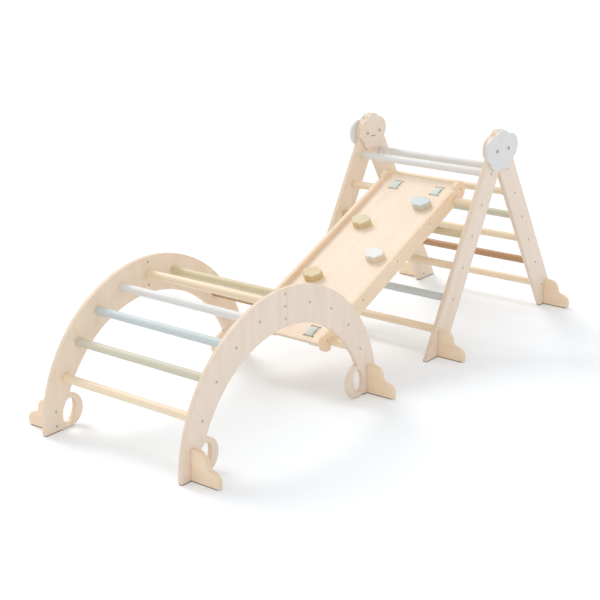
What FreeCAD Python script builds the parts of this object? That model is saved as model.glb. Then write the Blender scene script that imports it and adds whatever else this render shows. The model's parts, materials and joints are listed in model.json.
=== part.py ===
"""Wooden climbing frame: an arch with rungs, an A-frame ladder and a ramp that hangs between them.

Millimetres, +Z up. +X runs from the arch (front) to the triangle (rear), +Y is the left side.
The origin is on the floor, in the middle of the length and of the width.
"""
import FreeCAD, Part
import os
from collections import namedtuple

import Sketcher

# Driving sizes
SIZES = {
    "ply_thickness": 18,
    "rung_diameter": 30,
    "rung_chamfer": 2,
    "pad_thickness": 3,
    "pad_inset": 2,
    "bore_gap": 0.15,
    "hook_gap": 0.4,
    "screw_head_diameter": 10,
    "screw_head_height": 3.5,
    "screw_shank_diameter": 6,
    "screw_length": 58,
    # arch
    "arch_width": 600,
    "arch_outer_radius": 510,
    "arch_centre_drop": 5,
    "arch_rung_inset": 60,
    "arch_rung_step_angle": 16.4,
    "arch_crown_depth": 132,
    "arch_foot_depth": 80,
    "lap_length": 34,
    "lap_shift": -5,
    "lap_bolt_spacing": 84,
    "loop_radius": 61,
    "loop_inset": 110,
    "loop_hole_width": 54,
    "loop_hole_height": 87,
    "loop_hole_end_radius": 22,
    "loop_hole_lean_angle": 16,
    "arch_foot_inset": 50,
    # foot plates
    "foot_reach": 112,
    "foot_height": 106,
    "foot_screw_low": 20,
    "foot_screw_high": 72,
    # triangle
    "unit_spacing": 1328,
    "triangle_width": 594,
    "leg_width": 106,
    "leg_angle": 29.82,
    "leg_top_rise": 136,
    "ladder_pitch": 127.35,
    "ladder_low_height": 94,
    "head_rise": 87,
    "eye_spacing": 84,
    "outer_cloud_width": 224,
    "outer_cloud_height": 152,
    "outer_cloud_thickness": 12,
    "inner_cloud_width": 172,
    "inner_cloud_height": 144,
    "inner_cloud_thickness": 9,
    "inner_cloud_lift": 6,
    "smile_width": 44,
    "smile_drop": 8,
    "smile_sag": 10,
    "smile_line": 3,
    "smile_depth": 1.5,
    "bolt_head_diameter": 14,
    "bolt_head_height": 3,
    "nut_height": 4,
    # ramp
    "ramp_width": 358,
    "ramp_shift": -16,
    "ramp_high_reach": 21,
    "board_thickness": 12,
    "board_seat_gap": 1,
    "board_end_inset": 5,
    "rail_lip": 18,
    "rail_drop": 20,
    "hook_ledge": 7.6,
    "knob_radius": 37,
    "neck_reach": 22,
    "neck_depth": 9,
    "ramp_screw_length": 32,
    "ramp_screw_shank_diameter": 4,
    "ramp_screw_head_diameter": 8,
    "ramp_screw_head_height": 2.5,
    "rail_screw_low": -20,
    "rail_screw_high": 50,
    "strap_width": 30,
    "strap_thickness": 2.4,
    "strap_gap": 0.5,
    "strap_inset": 64,
    "strap_slack": 10,
    "high_strap_shift": 6,
    "slot_offset": 25,
    "slot_length": 46,
    "slot_width": 8,
    "hold_width": 82,
    "hold_depth": 61,
    "hold_thickness": 26,
    "hold_easing": 3,
    "hold_inset": 73,
    "hold_screw_spacing": 24,
}

# Rungs of the arch, counted from its crown, and of each ladder, counted from the top
ARCH_RUNGS = range(-4, 5)
LADDER_RUNGS = range(6)
LAST_ARCH_ANGLE = f"({ARCH_RUNGS[-1]} * Sizes.arch_rung_step_angle)"

# Sizes worked out from the driving ones
WORKED = {
    "arch_half": "sqrt(Sizes.arch_outer_radius^2 - (Sizes.arch_centre_drop + Sizes.pad_thickness)^2)",
    "arch_rung_radius": "Sizes.arch_outer_radius - Sizes.arch_rung_inset",
    "crown_inner_z": "Sizes.arch_outer_radius - Sizes.arch_centre_drop - Sizes.arch_crown_depth",
    "foot_opening": "Worked.arch_half - Sizes.arch_foot_depth",
    "inner_rise": "Worked.crown_inner_z - Sizes.pad_thickness",
    "inner_radius": "(Worked.foot_opening^2 + Worked.inner_rise^2) / (2 * Worked.inner_rise)",
    "inner_centre_z": "Worked.crown_inner_z - Worked.inner_radius",
    "leg_slope": "tan(Sizes.leg_angle)",
    "leg_half_run": "Sizes.leg_width / 2 / cos(Sizes.leg_angle)",
    "ladder_step_x": "Sizes.ladder_pitch * sin(Sizes.leg_angle)",
    "ladder_step_z": "Sizes.ladder_pitch * cos(Sizes.leg_angle)",
    "ladder_top_z": f"Sizes.ladder_low_height + {LADDER_RUNGS[-1]} * Worked.ladder_step_z",
    "leg_foot_x": "Worked.leg_half_run + (Worked.ladder_top_z - Sizes.pad_thickness) * Worked.leg_slope",
    "triangle_half": "Worked.leg_foot_x + Worked.leg_half_run",
    "set_length": "Worked.arch_half + Sizes.unit_spacing + Worked.triangle_half",
    "arch_x": "Worked.arch_half - Worked.set_length / 2",
    "triangle_x": "Worked.arch_x + Sizes.unit_spacing",
    "eye_z": "Worked.ladder_top_z + Sizes.head_rise",
    "hook_low_x": f"Worked.arch_x + Worked.arch_rung_radius * sin({LAST_ARCH_ANGLE})",
    "hook_low_z": f"Worked.arch_rung_radius * cos({LAST_ARCH_ANGLE}) - Sizes.arch_centre_drop",
    "hook_high_x": "Worked.triangle_x - Worked.leg_half_run - Worked.ladder_step_x",
    "hook_high_z": "Worked.ladder_top_z - Worked.ladder_step_z",
    "ramp_run": "Worked.hook_high_x - Worked.hook_low_x",
    "ramp_rise": "Worked.hook_high_z - Worked.hook_low_z",
    "ramp_length": "sqrt(Worked.ramp_run^2 + Worked.ramp_rise^2)",
    "board_low": "Sizes.rung_diameter / 2 + Sizes.board_seat_gap",
    "board_top": "Worked.board_low + Sizes.board_thickness",
    "board_width": "Sizes.ramp_width - 2 * Sizes.ply_thickness",
    "rail_top": "Worked.board_top + Sizes.rail_lip",
    "rail_middle": "(Worked.rail_top - Sizes.rail_drop) / 2",
    "nose_radius": "(Worked.rail_top + Sizes.rail_drop) / 2",
    "notch_radius": "Sizes.rung_diameter / 2 + Sizes.hook_gap",
    "nose_start": "Worked.notch_radius + Sizes.hook_ledge",
    "ramp_overhang": "Worked.nose_start + Worked.nose_radius",
    "knob_middle": "Sizes.knob_radius - Sizes.rail_drop",
    "strap_half": "Sizes.slot_offset - Sizes.slot_width / 2 + Sizes.strap_gap",
}

RAIL_SCREWS = range(5)
RIGHT, LEFT = -1, 1
FRONT, REAR = -1, 1
SIDE_NAMES = {RIGHT: "right", LEFT: "left"}
END_NAMES = {FRONT: "front", REAR: "rear"}

# Places of the holds along the ramp, as shares of the distance between the two rungs, and the side of each
HOLD_SHARES = ((0.31, LEFT), (0.503, RIGHT), (0.699, LEFT), (0.89, RIGHT))
# Height of a hand loop's centre above the pads, as a share of the loop's radius
LOOP_LIFT_SHARE = 0.967
# Height on a foot plate, as a share of its own, at which the middle of a leg crosses it
LEG_CROSSING_SHARE = 0.4
# Length of a foot plate's floor pad, as a share of the plate's reach
FOOT_PAD_SHARE = 0.9

Corner = namedtuple("Corner", "x y")
Bow = namedtuple("Bow", "x y")

# Boot outline of a foot plate, as shares of its reach and height
BOOT_SHARES = (
    Corner(0, 0), Corner(1, 0), Corner(1, 0.1), Bow(0.955, 0.35), Corner(0.8, 0.47), Corner(0.7, 0.49),
    Bow(0.6, 0.55), Corner(0.555, 0.64), Bow(0.475, 0.88), Corner(0.3, 1), Corner(0, 1),
)
# Cloud outline, as shares of half its width and half its height
CLOUD_SHARES = (
    Corner(-0.42, 0.71), Bow(-1, 0.19), Corner(-0.7, -0.56), Bow(-0.42, -1), Corner(0, -0.88),
    Bow(0.42, -1), Corner(0.7, -0.56), Bow(1, 0.19), Corner(0.42, 0.71), Bow(0, 1),
)

doc = FreeCAD.newDocument("ClimbingFrame")
pieces = []


def fill_sheet(name, cells):
    """Makes a spreadsheet with one aliased cell per entry."""
    sheet = doc.addObject("Spreadsheet::Sheet", name)
    for row, (alias, content) in enumerate(cells.items(), start=1):
        sheet.set(f"A{row}", alias)
        sheet.set(f"B{row}", content)
        sheet.setAlias(f"B{row}", alias)
    return sheet


sizes = fill_sheet("Sizes", {alias: str(number) for alias, number in SIZES.items()})
fill_sheet("Worked", {alias: "=" + formula for alias, formula in WORKED.items()})
doc.recompute()


def number(expression):
    """The present value of an expression."""
    return float(sizes.evalExpression(expression))


def bind(owner, **expressions):
    """Ties properties of an object to expressions."""
    for prop, expression in expressions.items():
        owner.setExpression(prop, expression)


def place(owner, x="0", y="0", z="0"):
    """Ties an object's position to expressions."""
    for axis, expression in zip("xyz", (x, y, z)):
        owner.setExpression(f"Placement.Base.{axis}", expression)


def new_body(label, keep=True):
    """A body of its own for one piece; masters that are only copied are not kept."""
    body = doc.addObject("PartDesign::Body", label)
    body.Label = label
    if keep:
        pieces.append(body)
    return body


def new_sketch(body, plane, offset="0"):
    """A sketch on one of the body's origin planes, moved along the plane's normal by offset."""
    sketch = body.newObject("Sketcher::SketchObject", "Sketch")
    support = next(item for item in body.Origin.OriginFeatures if item.Role == plane)
    sketch.AttachmentSupport = [(support, "")]
    sketch.MapMode = "FlatFace"
    sketch.setExpression("AttachmentOffset.Base.z", offset)
    return sketch


def pin(sketch, geometry, point, spot):
    """Ties one point of a sketch to a pair of expressions."""
    for kind, expression in zip(("DistanceX", "DistanceY"), spot):
        constraint = Sketcher.Constraint(kind, -1, 1, geometry, point, number(expression))
        index = sketch.addConstraint(constraint)
        sketch.setExpression(f"Constraints[{index}]", expression)


def vector(spot):
    return FreeCAD.Vector(number(spot.x), number(spot.y), 0)


def outline(sketch, path):
    """A closed line through the corners of path; an edge with a bow point is an arc through it."""
    steps = list(path) + [path[0]]
    edges = []
    for index, start in enumerate(steps[:-1]):
        if isinstance(start, Bow):
            continue
        bow = steps[index + 1] if isinstance(steps[index + 1], Bow) else None
        end = steps[index + 2] if bow else steps[index + 1]
        first, last = 1, 2
        if bow:
            a, b, c = vector(start), vector(bow), vector(end)
            if (b - a).cross(c - a).z < 0:
                a, c = c, a
                first, last = 2, 1
            geometry = sketch.addGeometry(Part.Arc(a, b, c))
        else:
            geometry = sketch.addGeometry(Part.LineSegment(vector(start), vector(end)))
        edges.append((geometry, first, last, start, bow))
    for edge, follower in zip(edges, edges[1:] + edges[:1]):
        sketch.addConstraint(Sketcher.Constraint("Coincident", edge[0], edge[2], follower[0], follower[1]))
    for geometry, first, last, start, bow in edges:
        pin(sketch, geometry, first, start)
        if bow:
            mark = sketch.addGeometry(Part.Point(vector(bow)), True)
            pin(sketch, mark, 1, bow)
            sketch.addConstraint(Sketcher.Constraint("PointOnObject", mark, 1, geometry))


def rectangle(sketch, x_low, x_high, y_low, y_high):
    """A rectangle between four expressions."""
    spots = ((x_low, y_low), (x_high, y_low), (x_high, y_high), (x_low, y_high))
    outline(sketch, [Corner(x, y) for x, y in spots])


def circle(sketch, x, y, diameter):
    """A circle whose centre and diameter are expressions."""
    centre = FreeCAD.Vector(number(x), number(y), 0)
    geometry = sketch.addGeometry(Part.Circle(centre, FreeCAD.Vector(0, 0, 1), number(diameter) / 2))
    pin(sketch, geometry, 3, (x, y))
    index = sketch.addConstraint(Sketcher.Constraint("Diameter", geometry, number(diameter)))
    sketch.setExpression(f"Constraints[{index}]", diameter)


def pad(body, sketch, length, side="Symmetric", reverse=False):
    feature = body.newObject("PartDesign::Pad", "Pad")
    feature.Profile = sketch
    feature.SideType = side
    feature.Reversed = reverse
    bind(feature, Length=length)
    return feature


def cut(body, sketch, depth=None, reverse=False):
    """A pocket of the given depth against the sketch's normal, or right through both ways."""
    feature = body.newObject("PartDesign::Pocket", "Pocket")
    feature.Profile = sketch
    feature.Reversed = reverse
    if depth is None:
        feature.Type = "ThroughAll"
        feature.SideType = "Symmetric"
    else:
        bind(feature, Length=depth)
    return feature


def turned(body, plane, path):
    """A solid of revolution about the vertical axis of its sketch."""
    sketch = new_sketch(body, plane)
    outline(sketch, path)
    feature = body.newObject("PartDesign::Revolution", "Revolution")
    feature.Profile = sketch
    feature.ReferenceAxis = (sketch, ["V_Axis"])
    return feature


def compound(label, members):
    """Separate solids kept together as a single piece."""
    whole = doc.addObject("Part::Compound", label)
    whole.Label = label
    whole.Links = members
    pieces.append(whole)


def copies(master, spots):
    """Copies of one master at x, y, z, each turned half round about Z where its flip is set."""
    made = []
    for x, y, z, flip in spots:
        copy = doc.addObject("App::Link", master.Label + "_copy")
        copy.LinkedObject = master
        if flip:
            copy.Placement = FreeCAD.Placement(FreeCAD.Vector(), FreeCAD.Rotation(180, 0, 0))
        place(copy, x, y, z)
        made.append(copy)
    return made


def screw(label, plane, length, shank, head, head_height):
    """A flush screw: head at the origin, shank along the vertical axis of its sketch."""
    master = new_body(label, keep=False)
    turned(master, plane, (
        Corner("0", "0"),
        Corner(f"{head} / 2", "0"),
        Corner(f"{head} / 2", head_height),
        Corner(f"{shank} / 2", head_height),
        Corner(f"{shank} / 2", length),
        Corner("0", length),
    ))
    return master


def screw_holes(body, plane, offset, reverse, spots):
    """Through holes for flush screws, with seats for their heads in the face at the given offset."""
    through = new_sketch(body, plane)
    for x, y in spots:
        circle(through, x, y, "Sizes.screw_shank_diameter + 2 * Sizes.bore_gap")
    cut(body, through)
    seats = new_sketch(body, plane, offset)
    for x, y in spots:
        circle(seats, x, y, "Sizes.screw_head_diameter + 2 * Sizes.bore_gap")
    cut(body, seats, "Sizes.screw_head_height", reverse)


def panel_screw_holes(body, side, spots, outer=True):
    """Screw holes in an upright panel, from its outer or its inner face."""
    facing = side if outer else -side
    screw_holes(body, "XZ_Plane", f"{-facing} * Sizes.ply_thickness / 2", facing == LEFT, spots)


def rung(label, length, x, z):
    """A round rung along Y, bored at both ends for its screws."""
    body = new_body(label)
    half = f"({length}) / 2"
    bore = "Sizes.screw_shank_diameter / 2 + Sizes.bore_gap"
    floor = f"{half} - (Sizes.screw_length - Sizes.ply_thickness + Sizes.bore_gap)"
    radius = "Sizes.rung_diameter / 2"
    eased = f"{radius} - Sizes.rung_chamfer"
    shoulder = f"{half} - Sizes.rung_chamfer"
    turned(body, "XY_Plane", (
        Corner("0", f"-({floor})"),
        Corner(bore, f"-({floor})"),
        Corner(bore, f"-{half}"),
        Corner(eased, f"-{half}"),
        Corner(radius, f"-({shoulder})"),
        Corner(radius, shoulder),
        Corner(eased, half),
        Corner(bore, half),
        Corner(bore, floor),
        Corner("0", floor),
    ))
    place(body, x=x, z=z)


def foot_plate(label, side, x, panel_face):
    """A boot-shaped plate that stands square to a panel, with bores for two screws from the panel."""
    body = new_body(label)
    sketch = new_sketch(body, "YZ_Plane")
    path = []
    for step in BOOT_SHARES:
        reach = f"{side * step.x} * Sizes.foot_reach"
        path.append(type(step)(reach, f"Sizes.pad_thickness + {step.y} * Sizes.foot_height"))
    outline(sketch, path)
    pad(body, sketch, "Sizes.ply_thickness")
    bores = new_sketch(body, "XZ_Plane")
    for height in FOOT_SCREW_HEIGHTS:
        circle(bores, "0", height, "Sizes.screw_shank_diameter + 2 * Sizes.bore_gap")
    cut(body, bores, "Sizes.screw_length - Sizes.ply_thickness + Sizes.bore_gap", side == RIGHT)
    place(body, x=x, y=f"{side} * ({panel_face})")


def floor_pads(label, spots):
    """Thin pads on the floor: middle x and y, length along X and length along Y of each."""
    boxes = []
    for x, y, long, wide in spots:
        box = doc.addObject("Part::Box", label + "_pad")
        bind(box, Length=long, Width=wide, Height="Sizes.pad_thickness")
        place(box, f"{x} - ({long}) / 2", f"{y} - ({wide}) / 2")
        boxes.append(box)
    compound(label, boxes)


def cloud_path(width, height):
    return [type(step)(f"{step.x} * {width} / 2", f"{step.y} * {height} / 2") for step in CLOUD_SHARES]


FOOT_SCREW_HEIGHTS = tuple(
    f"Sizes.pad_thickness + {height}" for height in ("Sizes.foot_screw_low", "Sizes.foot_screw_high")
)
PAD_WIDTH = "(Sizes.ply_thickness - 2 * Sizes.pad_inset)"
FOOT_PAD_LENGTH = f"({FOOT_PAD_SHARE} * Sizes.foot_reach)"


# Arch
def arch_rung_spot(step):
    """Place of one rung on the arch, from the arch's middle."""
    angle = f"{step} * Sizes.arch_rung_step_angle"
    x = f"Worked.arch_rung_radius * sin({angle})"
    z = f"Worked.arch_rung_radius * cos({angle}) - Sizes.arch_centre_drop"
    return x, z


LAP_BOLT_SPOTS = tuple(
    ("0", f"Worked.arch_rung_radius - Sizes.arch_centre_drop + {sign} * Sizes.lap_bolt_spacing / 2")
    for sign in (-1, 1)
)
ARCH_FOOT_X = "(Worked.arch_half - Sizes.arch_foot_inset)"
ARCH_FACE = "Sizes.arch_width / 2"
ARCH_OUTER_FACE = "Sizes.arch_width / 2 + Sizes.ply_thickness"
# Crown seams: the outer layer's joint lies behind the middle, the inner layer's in front of it
OUTER_SEAM = "Sizes.lap_shift + Sizes.lap_length / 2"
INNER_SEAM = "Sizes.lap_shift - Sizes.lap_length / 2"


def arch_layer(body, end, seam, reverse):
    """One half-thickness layer of an arch panel, from its seam at the crown to its foot."""
    outer = "Sizes.arch_outer_radius"
    inner = "Worked.inner_radius"
    sketch = new_sketch(body, "XZ_Plane")
    outline(sketch, (
        Corner(seam, f"sqrt({outer}^2 - ({seam})^2) - Sizes.arch_centre_drop"),
        Bow(f"{end} * {outer} * sin(45)", f"{outer} * cos(45) - Sizes.arch_centre_drop"),
        Corner(f"{end} * Worked.arch_half", "Sizes.pad_thickness"),
        Corner(f"{end} * Worked.foot_opening", "Sizes.pad_thickness"),
        Bow(f"{end} * {inner} * sin(45)", f"{inner} * cos(45) + Worked.inner_centre_z"),
        Corner(seam, f"sqrt({inner}^2 - ({seam})^2) + Worked.inner_centre_z"),
    ))
    pad(body, sketch, "Sizes.ply_thickness / 2", "One side", reverse)


def hand_loop(body, end):
    """The round lobe at the foot of an arch panel, and the leaning oval hole through it."""
    x = f"{end} * (Worked.arch_half - Sizes.loop_inset)"
    z = f"Sizes.pad_thickness + {LOOP_LIFT_SHARE} * Sizes.loop_radius"
    chord = f"Sizes.loop_radius * sqrt(1 - {LOOP_LIFT_SHARE}^2)"
    lobe = new_sketch(body, "XZ_Plane")
    outline(lobe, (
        Corner(f"{x} - {chord}", "Sizes.pad_thickness"),
        Corner(f"{x} + {chord}", "Sizes.pad_thickness"),
        Bow(x, f"{z} + Sizes.loop_radius"),
    ))
    pad(body, lobe, "Sizes.ply_thickness")

    # The oval is four tangent arcs: small ones at its ends, large ones along its sides
    wide = "Sizes.loop_hole_width / 2"
    tall = "Sizes.loop_hole_height / 2"
    small = "Sizes.loop_hole_end_radius"
    reach = f"({tall} - {small})"
    large = f"(({reach}^2 + ({wide})^2 - {small}^2) / (2 * ({wide} - {small})))"
    share = f"({large} / ({large} - {small}))"
    joint_x = f"({wide} - {large} + ({large} - ({wide})) * {share})"
    joint_y = f"({reach} * {share})"

    def leaning(kind, across, up):
        """A point of the upright oval, leaned towards the middle of the arch."""
        lean = f"{end} * Sizes.loop_hole_lean_angle"
        return kind(
            f"{x} + ({across}) * cos({lean}) - ({up}) * sin({lean})",
            f"{z} + ({across}) * sin({lean}) + ({up}) * cos({lean})",
        )

    hole = new_sketch(body, "XZ_Plane")
    outline(hole, (
        leaning(Corner, joint_x, joint_y), leaning(Bow, "0", tall),
        leaning(Corner, f"-{joint_x}", joint_y), leaning(Bow, f"-{wide}", "0"),
        leaning(Corner, f"-{joint_x}", f"-{joint_y}"), leaning(Bow, "0", f"-{tall}"),
        leaning(Corner, joint_x, f"-{joint_y}"), leaning(Bow, wide, "0"),
    ))
    cut(body, hole)


def arch_half(end, side):
    body = new_body(f"arch_panel_{END_NAMES[end]}_{SIDE_NAMES[side]}")
    arch_layer(body, end, OUTER_SEAM, reverse=side == LEFT)
    arch_layer(body, end, INNER_SEAM, reverse=side == RIGHT)
    hand_loop(body, end)
    rung_spots = [arch_rung_spot(step) for step in ARCH_RUNGS if step * end >= 0]
    panel_screw_holes(body, side, rung_spots + list(LAP_BOLT_SPOTS))
    foot_spots = [(f"{end} * {ARCH_FOOT_X}", height) for height in FOOT_SCREW_HEIGHTS]
    panel_screw_holes(body, side, foot_spots, outer=False)
    place(body, x="Worked.arch_x", y=f"{side} * ({ARCH_FACE} + Sizes.ply_thickness / 2)")


def build_arch():
    screw_spots = []
    bolt_spots = []
    pad_spots = []
    for side in (RIGHT, LEFT):
        outer_y = f"{side} * ({ARCH_OUTER_FACE})"
        for step in ARCH_RUNGS:
            x, z = arch_rung_spot(step)
            screw_spots.append((f"Worked.arch_x + {x}", outer_y, z, side == LEFT))
        for x, z in LAP_BOLT_SPOTS:
            bolt_spots.append((f"Worked.arch_x + {x}", outer_y, z, side == LEFT))
        for end in (FRONT, REAR):
            arch_half(end, side)
            foot_x = f"Worked.arch_x + {end} * {ARCH_FOOT_X}"
            foot_plate(f"arch_foot_{END_NAMES[end]}_{SIDE_NAMES[side]}", side, foot_x, ARCH_OUTER_FACE)
            for height in FOOT_SCREW_HEIGHTS:
                screw_spots.append((foot_x, f"{side} * {ARCH_FACE}", height, side == RIGHT))
            pad_spots.append((
                f"Worked.arch_x + {end} * (Worked.arch_half - Sizes.arch_foot_depth / 2)",
                f"{side} * ({ARCH_FACE} + Sizes.ply_thickness / 2)",
                "(Sizes.arch_foot_depth - 2 * Sizes.pad_inset)",
                PAD_WIDTH,
            ))
            pad_spots.append((
                foot_x,
                f"{side} * ({ARCH_OUTER_FACE} + Sizes.pad_inset + {FOOT_PAD_LENGTH} / 2)",
                PAD_WIDTH,
                FOOT_PAD_LENGTH,
            ))
    for step in ARCH_RUNGS:
        x, z = arch_rung_spot(step)
        rung(f"arch_rung_{step - ARCH_RUNGS[0] + 1}", "Sizes.arch_width", f"Worked.arch_x + {x}", z)
    compound("arch_screws", copies(panel_screw, screw_spots))
    compound("arch_lap_bolts", copies(lap_bolt, bolt_spots))
    floor_pads("arch_floor_pads", pad_spots)


# Triangle
TRIANGLE_FACE = "Sizes.triangle_width / 2"
TRIANGLE_OUTER_FACE = "Sizes.triangle_width / 2 + Sizes.ply_thickness"
LEG_CROSSING_Z = f"({LEG_CROSSING_SHARE} * Sizes.foot_height)"
TRIANGLE_FOOT_X = f"(Worked.leg_foot_x - {LEG_CROSSING_Z} * Worked.leg_slope)"


def ladder_spot(end, step):
    """Place of one rung on a ladder, counted from the top, from the middle of the triangle."""
    x = f"{end} * (Worked.leg_half_run + {step} * Worked.ladder_step_x)"
    z = f"Worked.ladder_top_z - {step} * Worked.ladder_step_z"
    return x, z


def leg(end, side):
    """One leg: it leans to the middle plane, where it is trimmed upright against its partner."""
    body = new_body(f"triangle_leg_{END_NAMES[end]}_{SIDE_NAMES[side]}")
    top_x = "(2 * Worked.leg_half_run - Sizes.leg_top_rise * Worked.leg_slope)"
    top_z = "Worked.ladder_top_z + Sizes.leg_top_rise"
    sketch = new_sketch(body, "XZ_Plane")
    outline(sketch, (
        Corner(f"{end} * (Worked.leg_foot_x - Worked.leg_half_run)", "Sizes.pad_thickness"),
        Corner(f"{end} * Worked.triangle_half", "Sizes.pad_thickness"),
        Corner(f"{end} * {top_x}", top_z),
        Corner("0", top_z),
        Corner("0", "Worked.ladder_top_z"),
    ))
    pad(body, sketch, "Sizes.ply_thickness")
    panel_screw_holes(body, side, [ladder_spot(end, step) for step in LADDER_RUNGS])
    foot_spots = [(f"{end} * {TRIANGLE_FOOT_X}", height) for height in FOOT_SCREW_HEIGHTS]
    panel_screw_holes(body, side, foot_spots, outer=False)
    bolt_hole = new_sketch(body, "XZ_Plane")
    bolt_hole_x = f"{end} * Sizes.eye_spacing / 2"
    circle(bolt_hole, bolt_hole_x, "Worked.eye_z", "Sizes.screw_shank_diameter + 2 * Sizes.bore_gap")
    cut(body, bolt_hole)
    place(body, x="Worked.triangle_x", y=f"{side} * ({TRIANGLE_FACE} + Sizes.ply_thickness / 2)")


def cloud_plate(label, side, width, height, thickness, lift, y, smiling):
    """A cloud-shaped plate on the legs' faces, with holes for the two head bolts."""
    body = new_body(label)
    sketch = new_sketch(body, "XZ_Plane")
    outline(sketch, cloud_path(width, height))
    pad(body, sketch, thickness)
    holes = new_sketch(body, "XZ_Plane")
    for end in (FRONT, REAR):
        hole_x = f"{end} * Sizes.eye_spacing / 2"
        circle(holes, hole_x, f"-({lift})", "Sizes.screw_shank_diameter + 2 * Sizes.bore_gap")
    cut(body, holes)
    if smiling:
        smile = new_sketch(body, "XZ_Plane", f"{side} * {thickness} / 2")
        corner_y = f"-({lift}) - Sizes.smile_drop"
        outline(smile, (
            Corner("-Sizes.smile_width / 2", corner_y),
            Bow("0", f"{corner_y} - Sizes.smile_sag"),
            Corner("Sizes.smile_width / 2", corner_y),
            Bow("0", f"{corner_y} - Sizes.smile_sag + Sizes.smile_line"),
        ))
        cut(body, smile, "Sizes.smile_depth", side == RIGHT)
    place(body, x="Worked.triangle_x", y=y, z=f"Worked.eye_z + {lift}")


def build_triangle():
    screw_spots = []
    bolt_spots = []
    nut_spots = []
    pad_spots = []
    for side in (RIGHT, LEFT):
        outer_y = f"{side} * ({TRIANGLE_OUTER_FACE})"
        for end in (FRONT, REAR):
            leg(end, side)
            foot_x = f"Worked.triangle_x + {end} * {TRIANGLE_FOOT_X}"
            foot_label = f"triangle_foot_{END_NAMES[end]}_{SIDE_NAMES[side]}"
            foot_plate(foot_label, side, foot_x, TRIANGLE_OUTER_FACE)
            for step in LADDER_RUNGS:
                x, z = ladder_spot(end, step)
                screw_spots.append((f"Worked.triangle_x + {x}", outer_y, z, side == LEFT))
            for height in FOOT_SCREW_HEIGHTS:
                screw_spots.append((foot_x, f"{side} * {TRIANGLE_FACE}", height, side == RIGHT))
            eye_x = f"Worked.triangle_x + {end} * Sizes.eye_spacing / 2"
            bolt_rise = "Sizes.outer_cloud_thickness + Sizes.bolt_head_height"
            bolt_y = f"{side} * ({TRIANGLE_OUTER_FACE} + {bolt_rise})"
            bolt_spots.append((eye_x, bolt_y, "Worked.eye_z", side == LEFT))
            nut_y = f"{side} * ({TRIANGLE_FACE} - Sizes.inner_cloud_thickness)"
            nut_spots.append((eye_x, nut_y, "Worked.eye_z", side == LEFT))
            pad_spots.append((
                f"Worked.triangle_x + {end} * Worked.leg_foot_x",
                f"{side} * ({TRIANGLE_FACE} + Sizes.ply_thickness / 2)",
                "(2 * Worked.leg_half_run - 2 * Sizes.pad_inset)",
                PAD_WIDTH,
            ))
            pad_spots.append((
                foot_x,
                f"{side} * ({TRIANGLE_OUTER_FACE} + Sizes.pad_inset + {FOOT_PAD_LENGTH} / 2)",
                PAD_WIDTH,
                FOOT_PAD_LENGTH,
            ))
        cloud_plate(
            f"outer_cloud_{SIDE_NAMES[side]}", side,
            "Sizes.outer_cloud_width", "Sizes.outer_cloud_height", "Sizes.outer_cloud_thickness", "0",
            f"{side} * ({TRIANGLE_OUTER_FACE} + Sizes.outer_cloud_thickness / 2)", smiling=False,
        )
        cloud_plate(
            f"inner_cloud_{SIDE_NAMES[side]}", side,
            "Sizes.inner_cloud_width", "Sizes.inner_cloud_height", "Sizes.inner_cloud_thickness",
            "Sizes.inner_cloud_lift",
            f"{side} * ({TRIANGLE_FACE} - Sizes.inner_cloud_thickness / 2)", smiling=True,
        )
    for end in (FRONT, REAR):
        for step in LADDER_RUNGS:
            x, z = ladder_spot(end, step)
            label = f"{END_NAMES[end]}_ladder_rung_{step + 1}"
            rung(label, "Sizes.triangle_width", f"Worked.triangle_x + {x}", z)
    compound("triangle_screws", copies(panel_screw, screw_spots))
    compound("head_bolts", copies(head_bolt, bolt_spots))
    compound("head_nuts", copies(head_nut, nut_spots))
    floor_pads("triangle_floor_pads", pad_spots)


# Ramp: local X runs up the ramp from the arch's rung, local Z stands square to the board
def lean_on_ramp(owner):
    """Leans an object to the ramp's slope."""
    owner.Placement.Rotation = FreeCAD.Rotation(FreeCAD.Vector(0, 1, 0), -1)
    owner.setExpression("Placement.Rotation.Angle", "-atan2(Worked.ramp_rise; Worked.ramp_run)")


def place_on_ramp(owner, y="0"):
    """Puts a piece drawn in the ramp's own frame at the arch's rung, leaned to the ramp's slope."""
    lean_on_ramp(owner)
    place(owner, "Worked.hook_low_x", f"Sizes.ramp_shift + {y}", "Worked.hook_low_z")


def ramp_spot(along, above):
    """World x and z of a point given in the ramp's own frame."""
    cosine = "(Worked.ramp_run / Worked.ramp_length)"
    sine = "(Worked.ramp_rise / Worked.ramp_length)"
    x = f"Worked.hook_low_x + ({along}) * {cosine} - ({above}) * {sine}"
    z = f"Worked.hook_low_z + ({along}) * {sine} + ({above}) * {cosine}"
    return x, z


HOOK_PLACES = {"low": "0", "high": "Worked.ramp_length"}
HIGH_END = "(Worked.ramp_length + Sizes.ramp_high_reach)"
KNOB_X = f"({HIGH_END} + Worked.nose_start)"
STRAP_PLACES = {"low": "0", "high": "(Worked.ramp_length + Sizes.high_strap_shift)"}
RAIL_SCREW_RUN = "(Worked.ramp_length + Sizes.rail_screw_high - Sizes.rail_screw_low)"
RAIL_SCREW_PLACES = tuple(
    f"Sizes.rail_screw_low + {step} * {RAIL_SCREW_RUN} / {len(RAIL_SCREWS) - 1}" for step in RAIL_SCREWS
)
BOARD_MIDDLE = "(Worked.board_low + Sizes.board_thickness / 2)"
RAMP_BORE = "Sizes.ramp_screw_shank_diameter + 2 * Sizes.bore_gap"
RAMP_SEAT = "Sizes.ramp_screw_head_diameter + 2 * Sizes.bore_gap"
STRAP_OFFSET = "(Worked.board_width / 2 - Sizes.strap_inset)"
HOLD_OFFSET = "(Worked.board_width / 2 - Sizes.hold_inset)"
HOLD_SPOTS = tuple(
    (f"({share} * Worked.ramp_length)", f"({side} * {HOLD_OFFSET})") for share, side in HOLD_SHARES
)
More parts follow.
